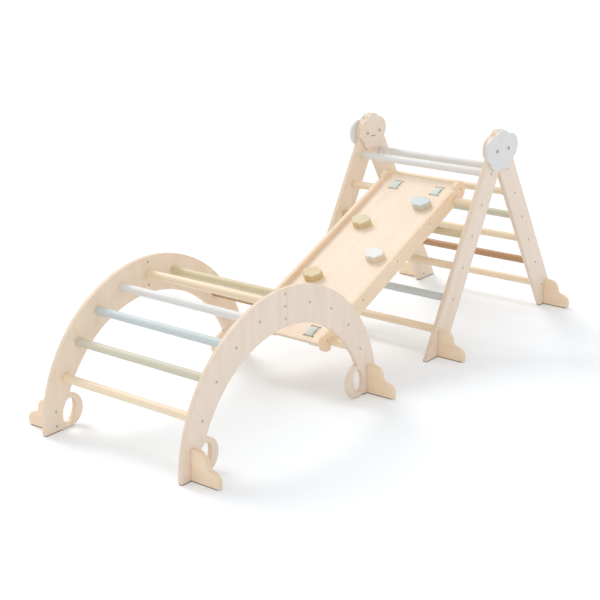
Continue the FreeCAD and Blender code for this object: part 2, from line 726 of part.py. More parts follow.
HOLD_SCREW_SPOTS = tuple(
    (f"{along} + {sign} * Sizes.hold_screw_spacing / 2", across)
    for along, across in HOLD_SPOTS
    for sign in (-1, 1)
)


def rail(side):
    """A side rail with a notch over each of the two rungs, a round nose below and a necked knob above."""
    body = new_body(f"ramp_rail_{SIDE_NAMES[side]}")
    notch = "Worked.notch_radius"
    bottom = "-Sizes.rail_drop"
    top = "Worked.rail_top"
    path = [Corner("-Worked.nose_start", bottom)]
    for hook in HOOK_PLACES.values():
        path += [
            Corner(f"{hook} - {notch}", bottom),
            Corner(f"{hook} - {notch}", "0"),
            Bow(hook, notch),
            Corner(f"{hook} + {notch}", "0"),
            Corner(f"{hook} + {notch}", bottom),
        ]
    neck_x = f"({KNOB_X} - Sizes.knob_radius * cos(45))"
    path += [
        Corner(KNOB_X, bottom),
        Bow(f"{KNOB_X} + Sizes.knob_radius", "Worked.knob_middle"),
        Corner(neck_x, "Worked.knob_middle + Sizes.knob_radius * sin(45)"),
        Bow(f"{neck_x} - Sizes.neck_reach / 2", f"{top} - Sizes.neck_depth"),
        Corner(f"{neck_x} - Sizes.neck_reach", top),
        Corner("-Worked.nose_start", top),
        Bow("-Worked.ramp_overhang", "Worked.rail_middle"),
    ]
    sketch = new_sketch(body, "XZ_Plane")
    outline(sketch, path)
    pad(body, sketch, "Sizes.ply_thickness")
    through = new_sketch(body, "XZ_Plane")
    seats = new_sketch(body, "XZ_Plane", f"{-side} * Sizes.ply_thickness / 2")
    for along in RAIL_SCREW_PLACES:
        circle(through, along, BOARD_MIDDLE, RAMP_BORE)
        circle(seats, along, BOARD_MIDDLE, RAMP_SEAT)
    cut(body, through)
    cut(body, seats, "Sizes.ramp_screw_head_height", side == LEFT)
    place_on_ramp(body, f"{side} * (Sizes.ramp_width - Sizes.ply_thickness) / 2")


def board():
    """The board between the rails, with strap slots, bores in its edges and holes for the hold screws."""
    body = new_body("ramp_board")
    sketch = new_sketch(body, "XY_Plane", "Worked.board_low")
    overhang = "(Worked.ramp_overhang - Sizes.board_end_inset)"
    half = "Worked.board_width / 2"
    rectangle(sketch, f"-{overhang}", f"{HIGH_END} + {overhang}", f"-{half}", half)
    for middle in STRAP_PLACES.values():
        for side in (RIGHT, LEFT):
            for end in (FRONT, REAR):
                x = f"{middle} + {end} * Sizes.slot_offset"
                y = f"{side} * {STRAP_OFFSET}"
                x_low, x_high = (f"{x} + {sign} * Sizes.slot_width / 2" for sign in (-1, 1))
                y_low, y_high = (f"{y} + {sign} * Sizes.slot_length / 2" for sign in (-1, 1))
                rectangle(sketch, x_low, x_high, y_low, y_high)
    pad(body, sketch, "Sizes.board_thickness", "One side")
    for side in (RIGHT, LEFT):
        bores = new_sketch(body, "XZ_Plane", f"{-side} * {half}")
        for along in RAIL_SCREW_PLACES:
            circle(bores, along, BOARD_MIDDLE, RAMP_BORE)
        depth = "Sizes.ramp_screw_length - Sizes.ply_thickness + Sizes.bore_gap"
        cut(body, bores, depth, side == LEFT)
    through = new_sketch(body, "XY_Plane", "Worked.board_low")
    seats = new_sketch(body, "XY_Plane", "Worked.board_low")
    for along, across in HOLD_SCREW_SPOTS:
        circle(through, along, across, RAMP_BORE)
        circle(seats, along, across, RAMP_SEAT)
    cut(body, through, "Sizes.board_thickness", reverse=True)
    cut(body, seats, "Sizes.ramp_screw_head_height", reverse=True)
    place_on_ramp(body)


def hold(index, along, across):
    """A hold like a cloud that lies across the ramp, with an eased top edge and bores for its screws."""
    body = new_body(f"ramp_hold_{index}")
    sketch = new_sketch(body, "XY_Plane", "Worked.board_top")
    outline(sketch, [
        type(step)(f"{along} + {step.y}", f"{across} + {step.x}")
        for step in cloud_path("Sizes.hold_width", "Sizes.hold_depth")
    ])
    block = pad(body, sketch, "Sizes.hold_thickness", "One side")
    doc.recompute()
    faces = block.Shape.Faces
    top = max(range(len(faces)), key=lambda face: faces[face].CenterOfMass.z)
    easing = body.newObject("PartDesign::Chamfer", "Chamfer")
    easing.Base = (block, [f"Face{top + 1}"])
    bind(easing, Size="Sizes.hold_easing")
    bores = new_sketch(body, "XY_Plane", "Worked.board_top")
    for sign in (-1, 1):
        circle(bores, f"{along} + {sign} * Sizes.hold_screw_spacing / 2", across, RAMP_BORE)
    cut(body, bores, "Sizes.ramp_screw_length - Sizes.board_thickness + Sizes.bore_gap", reverse=True)
    place_on_ramp(body)


def strap(name, side):
    """A closed webbing loop: over the board, down through two slots and slack round the rung."""
    body = new_body(f"ramp_strap_{name}_{SIDE_NAMES[side]}")
    middle = STRAP_PLACES[name]
    over = "(Worked.board_top + Sizes.strap_gap)"
    sketch = new_sketch(body, "XZ_Plane")
    for growth in ("0", "Sizes.strap_thickness"):
        half = f"(Worked.strap_half + {growth})"
        outline(sketch, (
            Corner(f"{middle} - {half}", f"{over} + {growth}"),
            Corner(f"{middle} - {half}", "-Sizes.strap_slack"),
            Bow(middle, f"-Sizes.strap_slack - {half}"),
            Corner(f"{middle} + {half}", "-Sizes.strap_slack"),
            Corner(f"{middle} + {half}", f"{over} + {growth}"),
        ))
    pad(body, sketch, "Sizes.strap_width")
    place_on_ramp(body, f"{side} * {STRAP_OFFSET}")


def build_ramp():
    board()
    rail_screw_spots = []
    for side in (RIGHT, LEFT):
        rail(side)
        for along in RAIL_SCREW_PLACES:
            x, z = ramp_spot(along, BOARD_MIDDLE)
            y = f"Sizes.ramp_shift + {side} * Sizes.ramp_width / 2"
            rail_screw_spots.append((x, y, z, side == LEFT))
    hold_screw_spots = []
    for along, across in HOLD_SCREW_SPOTS:
        x, z = ramp_spot(along, "Worked.board_low")
        hold_screw_spots.append((x, f"Sizes.ramp_shift + {across}", z, False))
    hold_screws = copies(hold_screw, hold_screw_spots)
    for copy in hold_screws:
        lean_on_ramp(copy)
    compound("ramp_screws", copies(rail_screw, rail_screw_spots) + hold_screws)
    for index, (along, across) in enumerate(HOLD_SPOTS, start=1):
        hold(index, along, across)
    for name in HOOK_PLACES:
        for side in (RIGHT, LEFT):
            strap(name, side)


# Fasteners that are copied where they are needed; each points along +Y, the hold screw along +Z
PANEL_SCREW = ("Sizes.screw_shank_diameter", "Sizes.screw_head_diameter", "Sizes.screw_head_height")
RAMP_SCREW = (
    "Sizes.ramp_screw_length",
    "Sizes.ramp_screw_shank_diameter",
    "Sizes.ramp_screw_head_diameter",
    "Sizes.ramp_screw_head_height",
)
HEAD_STACK = "Sizes.outer_cloud_thickness + Sizes.ply_thickness + Sizes.inner_cloud_thickness"
panel_screw = screw("panel_screw", "XY_Plane", "Sizes.screw_length", *PANEL_SCREW)
lap_bolt = screw("lap_bolt", "XY_Plane", "Sizes.ply_thickness", *PANEL_SCREW)
rail_screw = screw("rail_screw", "XY_Plane", *RAMP_SCREW)
hold_screw = screw("hold_screw", "XZ_Plane", *RAMP_SCREW)
head_bolt = screw(
    "head_bolt", "XY_Plane", f"Sizes.bolt_head_height + {HEAD_STACK} + Sizes.nut_height / 2",
    "Sizes.screw_shank_diameter", "Sizes.bolt_head_diameter", "Sizes.bolt_head_height",
)
head_nut = new_body("head_nut", keep=False)
nut_bore = "Sizes.screw_shank_diameter / 2 + Sizes.bore_gap"
nut_floor = "Sizes.nut_height / 2 + Sizes.bore_gap"
turned(head_nut, "XY_Plane", (
    Corner(nut_bore, "0"),
    Corner("Sizes.bolt_head_diameter / 2", "0"),
    Corner("Sizes.bolt_head_diameter / 2", "Sizes.nut_height"),
    Corner("0", "Sizes.nut_height"),
    Corner("0", nut_floor),
    Corner(nut_bore, nut_floor),
))

build_arch()
build_triangle()
build_ramp()
doc.recompute()

# Every feature has worked, every cut has taken something away and every piece is sound
for item in doc.Objects:
    if "Invalid" in item.State or "Error" in item.State:
        raise RuntimeError(f"{item.Label} failed: {item.State}")
    if item.TypeId == "PartDesign::Pocket" and item.Shape.Volume >= item.BaseFeature.Shape.Volume:
        raise RuntimeError(f"{item.Label} cuts nothing")
for piece in pieces:
    if piece.Shape.isNull() or not piece.Shape.isValid():
        raise RuntimeError(f"{piece.Label} has no sound shape")

os.makedirs("parts", exist_ok=True)
for piece in pieces:
    piece.Shape.exportStep(f"parts/{piece.Label}.step")
print(len(pieces), "pieces written")
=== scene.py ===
# %% [markdown]
# # A climbing set in birch plywood
# Three pieces of play furniture stand together: an arch, an A-frame ladder and a ramp that hangs
# on a rung of each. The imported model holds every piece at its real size, so this lesson only
# dresses it: sheets of plywood get rounded edges and a grain, rungs get paint or lacquer, straps
# become webbing. Everything is in metres, and each new piece rides on the body of the piece that
# it stands for.

# %% Load the frame
import json
import math

import bpy
import numpy as np
from mathutils import Matrix, Vector
from mathutils.geometry import tessellate_polygon


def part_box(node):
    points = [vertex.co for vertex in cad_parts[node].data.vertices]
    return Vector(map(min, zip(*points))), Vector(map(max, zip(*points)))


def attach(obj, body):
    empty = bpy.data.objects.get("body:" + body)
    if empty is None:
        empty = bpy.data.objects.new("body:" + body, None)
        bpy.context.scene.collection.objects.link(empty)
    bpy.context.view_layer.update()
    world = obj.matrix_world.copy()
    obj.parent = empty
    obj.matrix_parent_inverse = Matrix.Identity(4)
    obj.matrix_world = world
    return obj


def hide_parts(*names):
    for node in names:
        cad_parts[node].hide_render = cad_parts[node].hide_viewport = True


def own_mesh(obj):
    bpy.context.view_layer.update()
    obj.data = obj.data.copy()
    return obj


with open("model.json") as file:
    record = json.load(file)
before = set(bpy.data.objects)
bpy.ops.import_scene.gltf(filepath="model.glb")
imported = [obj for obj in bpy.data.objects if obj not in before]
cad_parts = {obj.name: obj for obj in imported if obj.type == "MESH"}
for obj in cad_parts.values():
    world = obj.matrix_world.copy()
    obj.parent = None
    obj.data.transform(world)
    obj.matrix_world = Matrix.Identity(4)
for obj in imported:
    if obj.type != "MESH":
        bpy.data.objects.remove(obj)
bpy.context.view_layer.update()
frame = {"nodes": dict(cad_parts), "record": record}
scene = bpy.context.scene
record = frame["record"]
body_of = {node: body for body, members in record["behaviour"]["bodies"].items() for node in members}
slot_of = {part["node"]: part["material_slot"] for part in record["subparts"]}

# %% [markdown]
# ## Where things are
# The frame knows where each piece is, so places are read from it and not typed again. The ramp has
# a frame of its own: it starts at the arch's last rung, runs along the slope to the second rung of
# the ladder, and its third direction stands square to the board.

# %% Read the main places
SIDES = {"right": -1, "left": 1}
ENDS = {"front": -1, "rear": 1}
Y_AXIS = np.array((0.0, 1.0, 0.0))


def middle(node):
    """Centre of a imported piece's box."""
    low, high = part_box(node)
    return np.array((low + high) / 2)


def extent(node):
    """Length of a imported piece's box along x, y and z."""
    low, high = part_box(node)
    return np.array(high - low)


def side_of(node):
    """-1 or 1, from the side that ends a piece's name."""
    return SIDES[node.rsplit("_", 1)[1]]


arch_x = middle("arch_rung_5")[0]
triangle_x = middle("outer_cloud_right")[0]
low_hook = middle("arch_rung_9")
high_hook = middle("front_ladder_rung_2")
ramp_y = middle("ramp_board")[1]
rung_radius = extent("arch_rung_5")[2] / 2
ply = extent("arch_panel_front_right")[1]
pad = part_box("arch_foot_front_right")[0].z
ramp_length = np.hypot(*(high_hook - low_hook)[[0, 2]])
uphill = (high_hook - low_hook) * (1, 0, 1) / ramp_length
ramp_normal = np.array((-uphill[2], 0, uphill[0]))
ramp_start = low_hook * (1, 0, 1) + (0, ramp_y, 0)


def ramp_point(along, across, above):
    """World points from the ramp's own frame: its start plus each length times its direction."""
    level = ramp_start + np.outer(along, uphill) + np.outer(across, Y_AXIS)
    return level + np.outer(above, ramp_normal)


ramp_slope = np.degrees(math.asin(uphill[2]))
print("ramp", round(ramp_length, 4), "m long between its rungs, sloping", round(ramp_slope, 2))

# %% [markdown]
# ## Writing shaders as sums
# A node tree for wood is mostly arithmetic on noise. Wiring that by hand hides the idea, so one
# small class wraps a socket: adding or multiplying two of them adds a Math node, and one method
# makes any other kind of node.

# %% A socket that can be written into sums


class Wire:
    """One output socket of a shader tree. Arithmetic adds Math nodes, make() adds any other node."""

    def __init__(self, tree, socket):
        self.tree = tree
        self.socket = socket

    def make(self, kind, settings=None, inputs=None, output=0):
        """Adds a node, sets it up, gives its sockets values or links, and returns one output."""
        node = self.tree.nodes.new(kind)
        for name, value in (settings or {}).items():
            setattr(node, name, value)
        feed(node, inputs or {})
        return Wire(self.tree, node.outputs[output])

    def maths(self, operation, *values):
        """A Math node of that operation on wires and plain numbers."""
        return self.make("ShaderNodeMath", {"operation": operation}, dict(enumerate(values)))

    def through(self, operation, *others):
        """This wire as the first value of a Math node, for sines and the like."""
        return self.maths(operation, self, *others)

    def __add__(self, other):
        return self.through("ADD", other)

    def __sub__(self, other):
        return self.through("SUBTRACT", other)

    def __rsub__(self, other):
        return self.maths("SUBTRACT", other, self)

    def __mul__(self, other):
        return self.through("MULTIPLY", other)

    __radd__ = __add__
    __rmul__ = __mul__

    def clamped(self):
        """This wire held between 0 and 1."""
        return self.make("ShaderNodeClamp", inputs={0: self})


def feed(node, sockets):
    """Links a node's sockets to wires, or sets them to plain values."""
    for name, value in sockets.items():
        if isinstance(value, Wire):
            value.tree.links.new(value.socket, node.inputs[name])
        else:
            node.inputs[name].default_value = value


print("sockets are wrapped by the class", Wire.__name__)

# %% [markdown]
# ## Patterns that the finishes share
# Wood, paint, webbing and steel all start from a place and a noise. A solid piece takes the place
# from its Object coordinates, so the pattern runs through it like grain through a log. A sheet or
# strap carries the place as an attribute of its points, so the pattern follows it. Scaling the
# place before the noise draws round blots out into fibres.

# %% Make the pattern helpers
MIX_AMOUNT, MIX_FIRST, MIX_SECOND, MIX_RESULT = 0, 6, 7, 2


def new_finish(name):
    """An empty material, its shader node and a wire to begin from."""
    material = bpy.data.materials.new(name)
    material.use_nodes = True
    shader = material.node_tree.nodes["Principled BSDF"]
    return material, shader, Wire(material.node_tree, shader.outputs[0])


def solid_place(begin):
    """Where a point lies in a solid piece."""
    return begin.make("ShaderNodeTexCoord", output="Object")


def sheet_place(begin):
    """Where a point lies in a sheet or strap: along it, across it and through it."""
    return begin.make("ShaderNodeAttribute", {"attribute_name": "sheet"}, output="Vector")


def parts(place):
    """The three numbers of a place, each as a wire."""
    return [place.make("ShaderNodeSeparateXYZ", inputs={0: place}, output=axis) for axis in range(3)]


def noise(place, waves, detail=2.0):
    """Noise of the place times the waves per metre of each direction."""
    drawn = place.make("ShaderNodeVectorMath", {"operation": "MULTIPLY"}, {0: place, 1: waves})
    sockets = {"Vector": drawn, "Scale": 1.0, "Detail": detail}
    return place.make("ShaderNodeTexNoise", inputs=sockets, output="Fac")


def opaque(colour):
    """A colour of three parts with full cover; a wire stays as it is."""
    return colour if isinstance(colour, Wire) else (*colour, 1.0)


def mix(amount, first, second):
    """Colour that goes from first to second as amount goes from 0 to 1."""
    sockets = {MIX_AMOUNT: amount, MIX_FIRST: opaque(first), MIX_SECOND: opaque(second)}
    return amount.make("ShaderNodeMix", {"data_type": "RGBA"}, sockets, output=MIX_RESULT)


def bumped(height, relief, strength):
    """Surface normal of a height pattern whose full relief is given in metres."""
    sockets = {"Strength": strength, "Distance": relief, "Height": height}
    return height.make("ShaderNodeBump", inputs=sockets, output="Normal")


print("patterns:", noise.__name__, mix.__name__, bumped.__name__)

# %% [markdown]
# ## Birch plywood
# The sheets are clear-lacquered birch: pale, slightly warm, with a soft streaky figure, hair-fine
# fibres and short flecks. Every sheet carries a point attribute that says how far a point lies
# along the grain, across it, and how many veneers up from the low face. That last number alone
# draws the stack of veneers on cut edges: its cosine is dark in every second veneer and light at
# the faces, so no mask has to tell faces from edges. Sheets differ in tone: the near side is
# palest, the board is mellower, foot plates and rails warmest, and the smile on the ladder's heads
# is burnt in. The far side is as mellow as the board, and there the warmer tone is a painted warm
# light bounced between the panels onto their inner faces. So the tones are arguments.

# %% Make the plywood finish
STREAK_WAVES = (2.4, 26, 0)
PATCH_WAVES = (3.5, 6, 0)
FIBRE_WAVES = (22, 620, 0)
FLECK_WAVES = (60, 480, 0)
PORE_WAVES = (900, 900, 900)
FLECK_LEVEL = 0.66
FLECK_GAIN = 9
FLECK_COLOUR = (0.68, 0.5, 0.35)
EDGE_LIGHT = (0.8, 0.62, 0.45)
EDGE_DEEP = (0.66, 0.48, 0.32)


def birch_plywood(name, light, deep):
    """Streaks, contours, fibres and flecks on faces; a cosine of the veneer count on edges."""
    material, shader, begin = new_finish(name)
    sheet = sheet_place(begin)
    streaks = noise(sheet, STREAK_WAVES, detail=4.0)
    patches = noise(sheet, PATCH_WAVES)
    fibres = noise(sheet, FIBRE_WAVES)
    flecks = ((noise(sheet, FLECK_WAVES, detail=1.0) - FLECK_LEVEL) * FLECK_GAIN).clamped()
    contour = (patches * 14 + streaks * 5).through("PINGPONG", 1.0)
    pores = noise(sheet, PORE_WAVES, detail=1.0)
    stack = (parts(sheet)[2] * math.pi).through("COSINE")
    dark_veneer = (stack * -1.7).clamped()
    tone = ((streaks - 0.5) * 1.5 + (contour - 0.5) * 0.22 + (fibres - 0.5) * 0.5 + 0.45).clamped()
    face = mix(flecks * 0.4, mix(tone, light, deep), FLECK_COLOUR)
    edge = mix(pores, EDGE_LIGHT, EDGE_DEEP)
    height = fibres * 0.6 + streaks * 0.4 - dark_veneer * 0.5
    feed(shader, {
        "Base Color": mix(dark_veneer * 0.6, face, edge),
        "Roughness": fibres * 0.12 + dark_veneer * 0.12 + 0.42,
        "Normal": bumped(height, relief=0.00025, strength=0.5),
        "Specular IOR Level": 0.4,
    })
    return material


plywood = birch_plywood("birch_plywood_lacquered", (0.93, 0.805, 0.69), (0.855, 0.7, 0.565))
# The mellower copy serves the board; on the far side it is a painted warm light bounced onto the
# inner faces
mellow_plywood = birch_plywood("mellow_plywood_lacquered", (0.945, 0.805, 0.66), (0.88, 0.705, 0.54))
warm_plywood = birch_plywood("warm_plywood_lacquered", (0.99, 0.815, 0.62), (0.93, 0.715, 0.5))
charred = birch_plywood("charred_plywood", (0.3, 0.17, 0.09), (0.2, 0.11, 0.06))
print("sheets", [sheet.name for sheet in (plywood, mellow_plywood, warm_plywood, charred)])

# %% [markdown]
# ## Lacquered and painted rods
# Natural rungs are turned from straight-grained wood, so their pattern is a solid one: parallel
# growth layers that the round surface cuts into long flames. Painted rungs have a satin coat that
# is thin enough to let the grain stand through as a faint relief. The same paint covers the cloud
# plates and the holds. Down the sides of a hold the colour is mixed towards a warm brown, a painted
# shade with warm light bounced from the board, and the height above the board tells where.

# %% Make the rod and paint finishes
DRIFT_WAVES = (9, 2.2, 9)
LAYERS_X, LAYERS_Z = 420, 260
ROD_FIBRE_WAVES = (700, 14, 700)
ROD_PATCH_WAVES = (14, 3, 14)
COAT_WAVES = (16, 16, 16)
PEEL_WAVES = (520, 520, 520)
PAINT_GRAIN_WAVES = (420, 12, 420)
ROD_LIGHT = (0.965, 0.83, 0.645)
ROD_DEEP = (0.9, 0.71, 0.48)
DEEP_COAT = 0.9
# Painted shade down the sides of the holds: its share and its warm colour stand in for shade and warm
# light bounced from the board
SIDE_SHADE_SHARE = 0.35
WARM_SIDE_SHADE = (0.78, 0.56, 0.26)
PAINTS = {
    "white_paint": (0.87, 0.86, 0.84),
    "sage_paint": (0.72, 0.69, 0.55),
    "blue_paint": (0.67, 0.745, 0.755),
    "olive_paint": (0.75, 0.65, 0.43),
    "mustard_paint": (0.75, 0.6, 0.36),
    "terracotta_paint": (0.54, 0.31, 0.165),
    "cloud_paint": (0.83, 0.83, 0.81),
}


def natural_rod():
    """Growth layers are a sine of a drifting, slanting distance, under fibres and patches."""
    material, shader, begin = new_finish("natural_rod_lacquered")
    place = solid_place(begin)
    x, _, z = parts(place)
    drift = noise(place, DRIFT_WAVES)
    flame = (x * LAYERS_X + z * LAYERS_Z + drift * 7).through("SINE") * 0.5 + 0.5
    fibres = noise(place, ROD_FIBRE_WAVES)
    patches = noise(place, ROD_PATCH_WAVES, detail=3.0)
    tone = (flame * 0.35 + (fibres - 0.5) * 0.5 + patches * 0.6 - 0.05).clamped()
    feed(shader, {
        "Base Color": mix(tone, ROD_LIGHT, ROD_DEEP),
        "Roughness": fibres * 0.12 + 0.36,
        "Normal": bumped(fibres * 0.5 + flame * 0.5, relief=0.0002, strength=0.5),
        "Specular IOR Level": 0.45,
    })
    return material


def satin_paint(name, colour, top=None):
    """Even paint; with top = (direction, level, depth), a painted warm shade darkens it below that
    level.
    """
    material, shader, begin = new_finish(name)
    place = solid_place(begin)
    coat = noise(place, COAT_WAVES, detail=3.0)
    peel = noise(place, PEEL_WAVES)
    grain = noise(place, PAINT_GRAIN_WAVES)
    deeper = [DEEP_COAT * share for share in colour]
    tone = mix((coat * 0.8 + grain * 0.35 - 0.1).clamped(), colour, deeper)
    if top:
        direction, level, depth = top
        dot_product = {"operation": "DOT_PRODUCT"}
        both = {0: place, 1: direction}
        height = place.make("ShaderNodeVectorMath", dot_product, both, output="Value")
        # painted shade: below the top, the colour is mixed towards a warm brown
        below = ((level - height) * (1 / depth)).clamped()
        tone = mix(below * SIDE_SHADE_SHARE, tone, WARM_SIDE_SHADE)
    feed(shader, {
        "Base Color": tone,
        "Roughness": coat * 0.16 + peel * 0.06 + 0.34,
        "Normal": bumped(grain * 0.6 + peel * 0.4, relief=0.00018, strength=0.5),
        "Specular IOR Level": 0.45,
    })
    return material


even_slots = {slot_of[node] for node in body_of if not node.startswith("ramp_hold_")}
finishes = {slot: satin_paint(slot + "_satin", PAINTS[slot]) for slot in PAINTS if slot in even_slots}
print(len(finishes), "even paints and a lacquer")
finishes["natural_rung"] = natural_rod()
finishes["birch_plywood"] = plywood

# %% [markdown]
# ## Webbing, steel and rubber
# The straps are woven: ribs run along the strap and finer threads cross them, so two sines of the
# strap's own length and width make both the colour and the relief. Screws are zinc-plated steel.
# The bolts that make the eyes of the ladder's heads are of duller steel, and their nuts are
# browned brass. The feet stand on thin pads of dark rubber.

# %% Make the small finishes
FUZZ_WAVES = (900, 900, 900)
WEAR_WAVES = (260, 260, 260)
CRUMB_WAVES = (700, 700, 700)
RIB_PITCH = 0.0021
THREAD_PITCH = 0.0014
MINT_SHADE = (0.6, 0.73, 0.68)
MINT_LIGHT = (0.8, 0.89, 0.84)
RUBBER_DARK = (0.1, 0.09, 0.08)
RUBBER_WORN = (0.2, 0.185, 0.17)


def webbing():
    """Ribs are a sine of the width, threads a sine of the length, and their product is the weave."""
    material, shader, begin = new_finish("mint_webbing")
    sheet = sheet_place(begin)
    along, across, _ = parts(sheet)
    ribs = (across * (math.tau / RIB_PITCH)).through("SINE")
    threads = (along * (math.tau / THREAD_PITCH)).through("SINE")
    weave = ribs * threads * 0.25 + ribs * 0.25 + 0.5
    fuzz = noise(sheet, FUZZ_WAVES)
    tone = (weave * 0.7 + fuzz * 0.5 - 0.1).clamped()
    feed(shader, {
        "Base Color": mix(tone, MINT_SHADE, MINT_LIGHT),
        "Roughness": fuzz * 0.15 + 0.75,
        "Normal": bumped(weave, relief=0.0004, strength=0.7),
        "Sheen Weight": 0.3,
    })
    return material


def plated_steel(name, dull, bright):
    """Metal whose colour and gloss wear in small spots."""
    material, shader, begin = new_finish(name)
    worn = noise(solid_place(begin), WEAR_WAVES, detail=3.0)
    feed(shader, {
        "Base Color": mix(worn, dull, bright),
        "Roughness": worn * 0.25 + 0.32,
        "Normal": bumped(worn, relief=0.0001, strength=0.4),
        "Metallic": 0.9,
    })
    return material


def floor_rubber():
    """Dark crumbs of rubber."""
    material, shader, begin = new_finish("floor_rubber")
    crumb = noise(solid_place(begin), CRUMB_WAVES, detail=3.0)
    feed(shader, {
        "Base Color": mix(crumb, RUBBER_DARK, RUBBER_WORN),
        "Roughness": crumb * 0.1 + 0.85,
        "Normal": bumped(crumb, relief=0.0003, strength=0.6),
    })
    return material


finishes["strap_webbing"] = webbing()
finishes["steel_fasteners"] = plated_steel("zinc_plated_steel", (0.45, 0.4, 0.35), (0.6, 0.55, 0.49))
bolt_steel = plated_steel("dull_bolt_steel", (0.38, 0.375, 0.36), (0.52, 0.51, 0.49))
nut_brass = plated_steel("browned_nut_brass", (0.55, 0.41, 0.3), (0.72, 0.56, 0.43))
finishes["anti_slip_pad"] = floor_rubber()
print(len(finishes), "finishes by slot")

# %% [markdown]
# ## From arrays to pieces
# Each new piece is an array of points with quads for its curved skin and triangles for its flat
# faces. A closed skin has a signed volume, so the volume tells whether the faces look outwards,
# and turns them round if not.

# %% Helpers that turn arrays into pieces
SMOOTH_LIMIT = math.radians(32)


def ring_quads(rings, around, start=0):
    """Quads between neighbouring rings of a grid that closes on itself all round."""
    ring, step = np.meshgrid(np.arange(rings - 1), np.arange(around), indexing="ij")
    here = start + ring * around
    after = (step + 1) % around
    corners = (here + step, here + after, here + around + after, here + around + step)
    return np.stack(corners, axis=-1).reshape(-1, 4)


def signed_volume(points, triangles):
    """A sixth of the triple products of all triangles: positive where they look outwards."""
    a, b, c = (points[triangles[:, corner]] for corner in range(3))
    return np.einsum("ij,ij->i", a, np.cross(b, c)).sum() / 6


def new_mesh(name, points, quads, triangles, sheet=None):
    """A mesh of smooth quads and flat triangles, with the sheet attribute where it is given."""
    fans = np.vstack((quads[:, [0, 1, 2]], quads[:, [0, 2, 3]], triangles))
    if signed_volume(points, fans) < 0:
        quads = quads[:, ::-1]
        triangles = triangles[:, ::-1]
    mesh = bpy.data.meshes.new(name)
    mesh.from_pydata(points.tolist(), [], quads.tolist() + triangles.tolist())
    mesh.set_sharp_from_angle(angle=SMOOTH_LIMIT)
    mesh.polygons.foreach_set("use_smooth", np.arange(len(mesh.polygons)) < len(quads))
    if sheet is not None:
        attribute = mesh.attributes.new("sheet", "FLOAT_VECTOR", "POINT")
        attribute.data.foreach_set("vector", sheet.astype(np.float32).ravel())
    mesh.update()
    return mesh


def new_piece(mesh, finish, node):
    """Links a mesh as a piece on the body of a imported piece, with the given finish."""
    piece = bpy.data.objects.new(mesh.name, mesh)
    scene.collection.objects.link(piece)
    mesh.materials.append(finish)
    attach(piece, body_of[node])
    return piece


def stand_in(mesh, finish, node):
    """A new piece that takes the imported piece's place."""
    piece = new_piece(mesh, finish, node)
    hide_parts(node)
    return piece


print("edges up to", round(math.degrees(SMOOTH_LIMIT)), "degrees are smooth")

# %% [markdown]
# ## Outlines
# A sheet is cut along an outline of straight runs and arcs. An outline here is a list of corners,
# and a point marked as a bow says that the run it lies on is an arc through it. Three points fix a
# circle, so the arc follows from them, and it is sampled evenly in angle. Half a disc of radius 1
# is a quick test: its area has to come out near half of pi.

# %% Trace outlines through corners and bows
ARC_STEP = math.radians(2.5)
FEWEST_ARC_STEPS = 3
MITRE_LIMIT = 0.4
BOW = True


def arc(start, bow, end):
    """Points from start up to, but not on, end along the circle through three points."""
    sides = np.array((bow - start, end - start))
    centre = start + np.linalg.solve(sides, (sides ** 2).sum(1) / 2)
    first, halfway, last = (math.atan2(*(point - centre)[::-1]) for point in (start, bow, end))
    turn = (last - first) % math.tau
    if (halfway - first) % math.tau > turn:
        turn -= math.tau
    count = max(FEWEST_ARC_STEPS, math.ceil(abs(turn) / ARC_STEP))
    angles = first + turn * np.arange(count) / count
    return centre + np.hypot(*(start - centre)) * np.column_stack((np.cos(angles), np.sin(angles)))


def enclosed(line):
    """Area inside a closed line, positive where it runs counter-clockwise."""
    after = np.roll(line, -1, axis=0)
    return (line[:, 0] * after[:, 1] - line[:, 1] * after[:, 0]).sum() / 2


def trace(steps):
    """Closed counter-clockwise line through corners (x, y), with arcs through each (x, y, BOW)."""
    spots = [np.array(step[:2], float) for step in steps]
    bowed = [len(step) == 3 for step in steps]
    runs = []
    for index, spot in enumerate(spots):
        following = (index + 1) % len(spots)
        if bowed[index]:
            continue
        if bowed[following]:
            runs.append(arc(spot, spots[following], spots[(index + 2) % len(spots)]))
        else:
            runs.append(spot[None])
    line = np.vstack(runs)
    return line if enclosed(line) > 0 else line[::-1]


def inward(line):
    """Direction into the material at each point, long enough to keep mitred corners parallel."""
    ahead = np.roll(line, -1, axis=0) - line
    ahead /= np.linalg.norm(ahead, axis=1, keepdims=True)
    normal = np.column_stack((-ahead[:, 1], ahead[:, 0]))
    mitre = normal + np.roll(normal, 1, axis=0)
    mitre /= np.linalg.norm(mitre, axis=1, keepdims=True)
    reach = np.einsum("ij,ij->i", mitre, normal)
    return mitre / np.maximum(reach, MITRE_LIMIT)[:, None]


def scaled(shares, width, height):
    """Steps of an outline from shares of a piece's width and height."""
    return [(step[0] * width, step[1] * height) + tuple(step[2:]) for step in shares]


half_disc = trace(((1, 0), (0, 1, BOW), (-1, 0)))
print("half a disc encloses", round(enclosed(half_disc), 3))

# %% [markdown]
# ## Sheets with rounded edges
# A router takes the sharpness off every cut edge. A Bevel modifier could do that, but the short
# steps of an arc would limit its width. So the skin of a sheet is a profile carried along its
# outline: a quarter round, the straight wall and another quarter round. The two flat faces close
# it, and holes are further outlines that run the other way.

# %% Build a sheet from its outline
ROUND_STEPS = 4
EASING = 0.002
VENEER = 0.0015
SOLID = 1.0


def edge_profile(low, high, low_round, high_round):
    """Inset from the outline and height through the sheet, from the low face to the high one."""
    angle = np.linspace(0, math.pi / 2, ROUND_STEPS + 1)
    inset, rise = 1 - np.sin(angle), 1 - np.cos(angle)
    insets = np.concatenate((inset * low_round, inset[::-1] * high_round))
    heights = np.concatenate((low + rise * low_round, high - rise[::-1] * high_round))
    return insets, heights


def sheet_profile(thickness):
    """The profile of a plain sheet about its middle plane."""
    return edge_profile(-thickness / 2, thickness / 2, EASING, EASING)


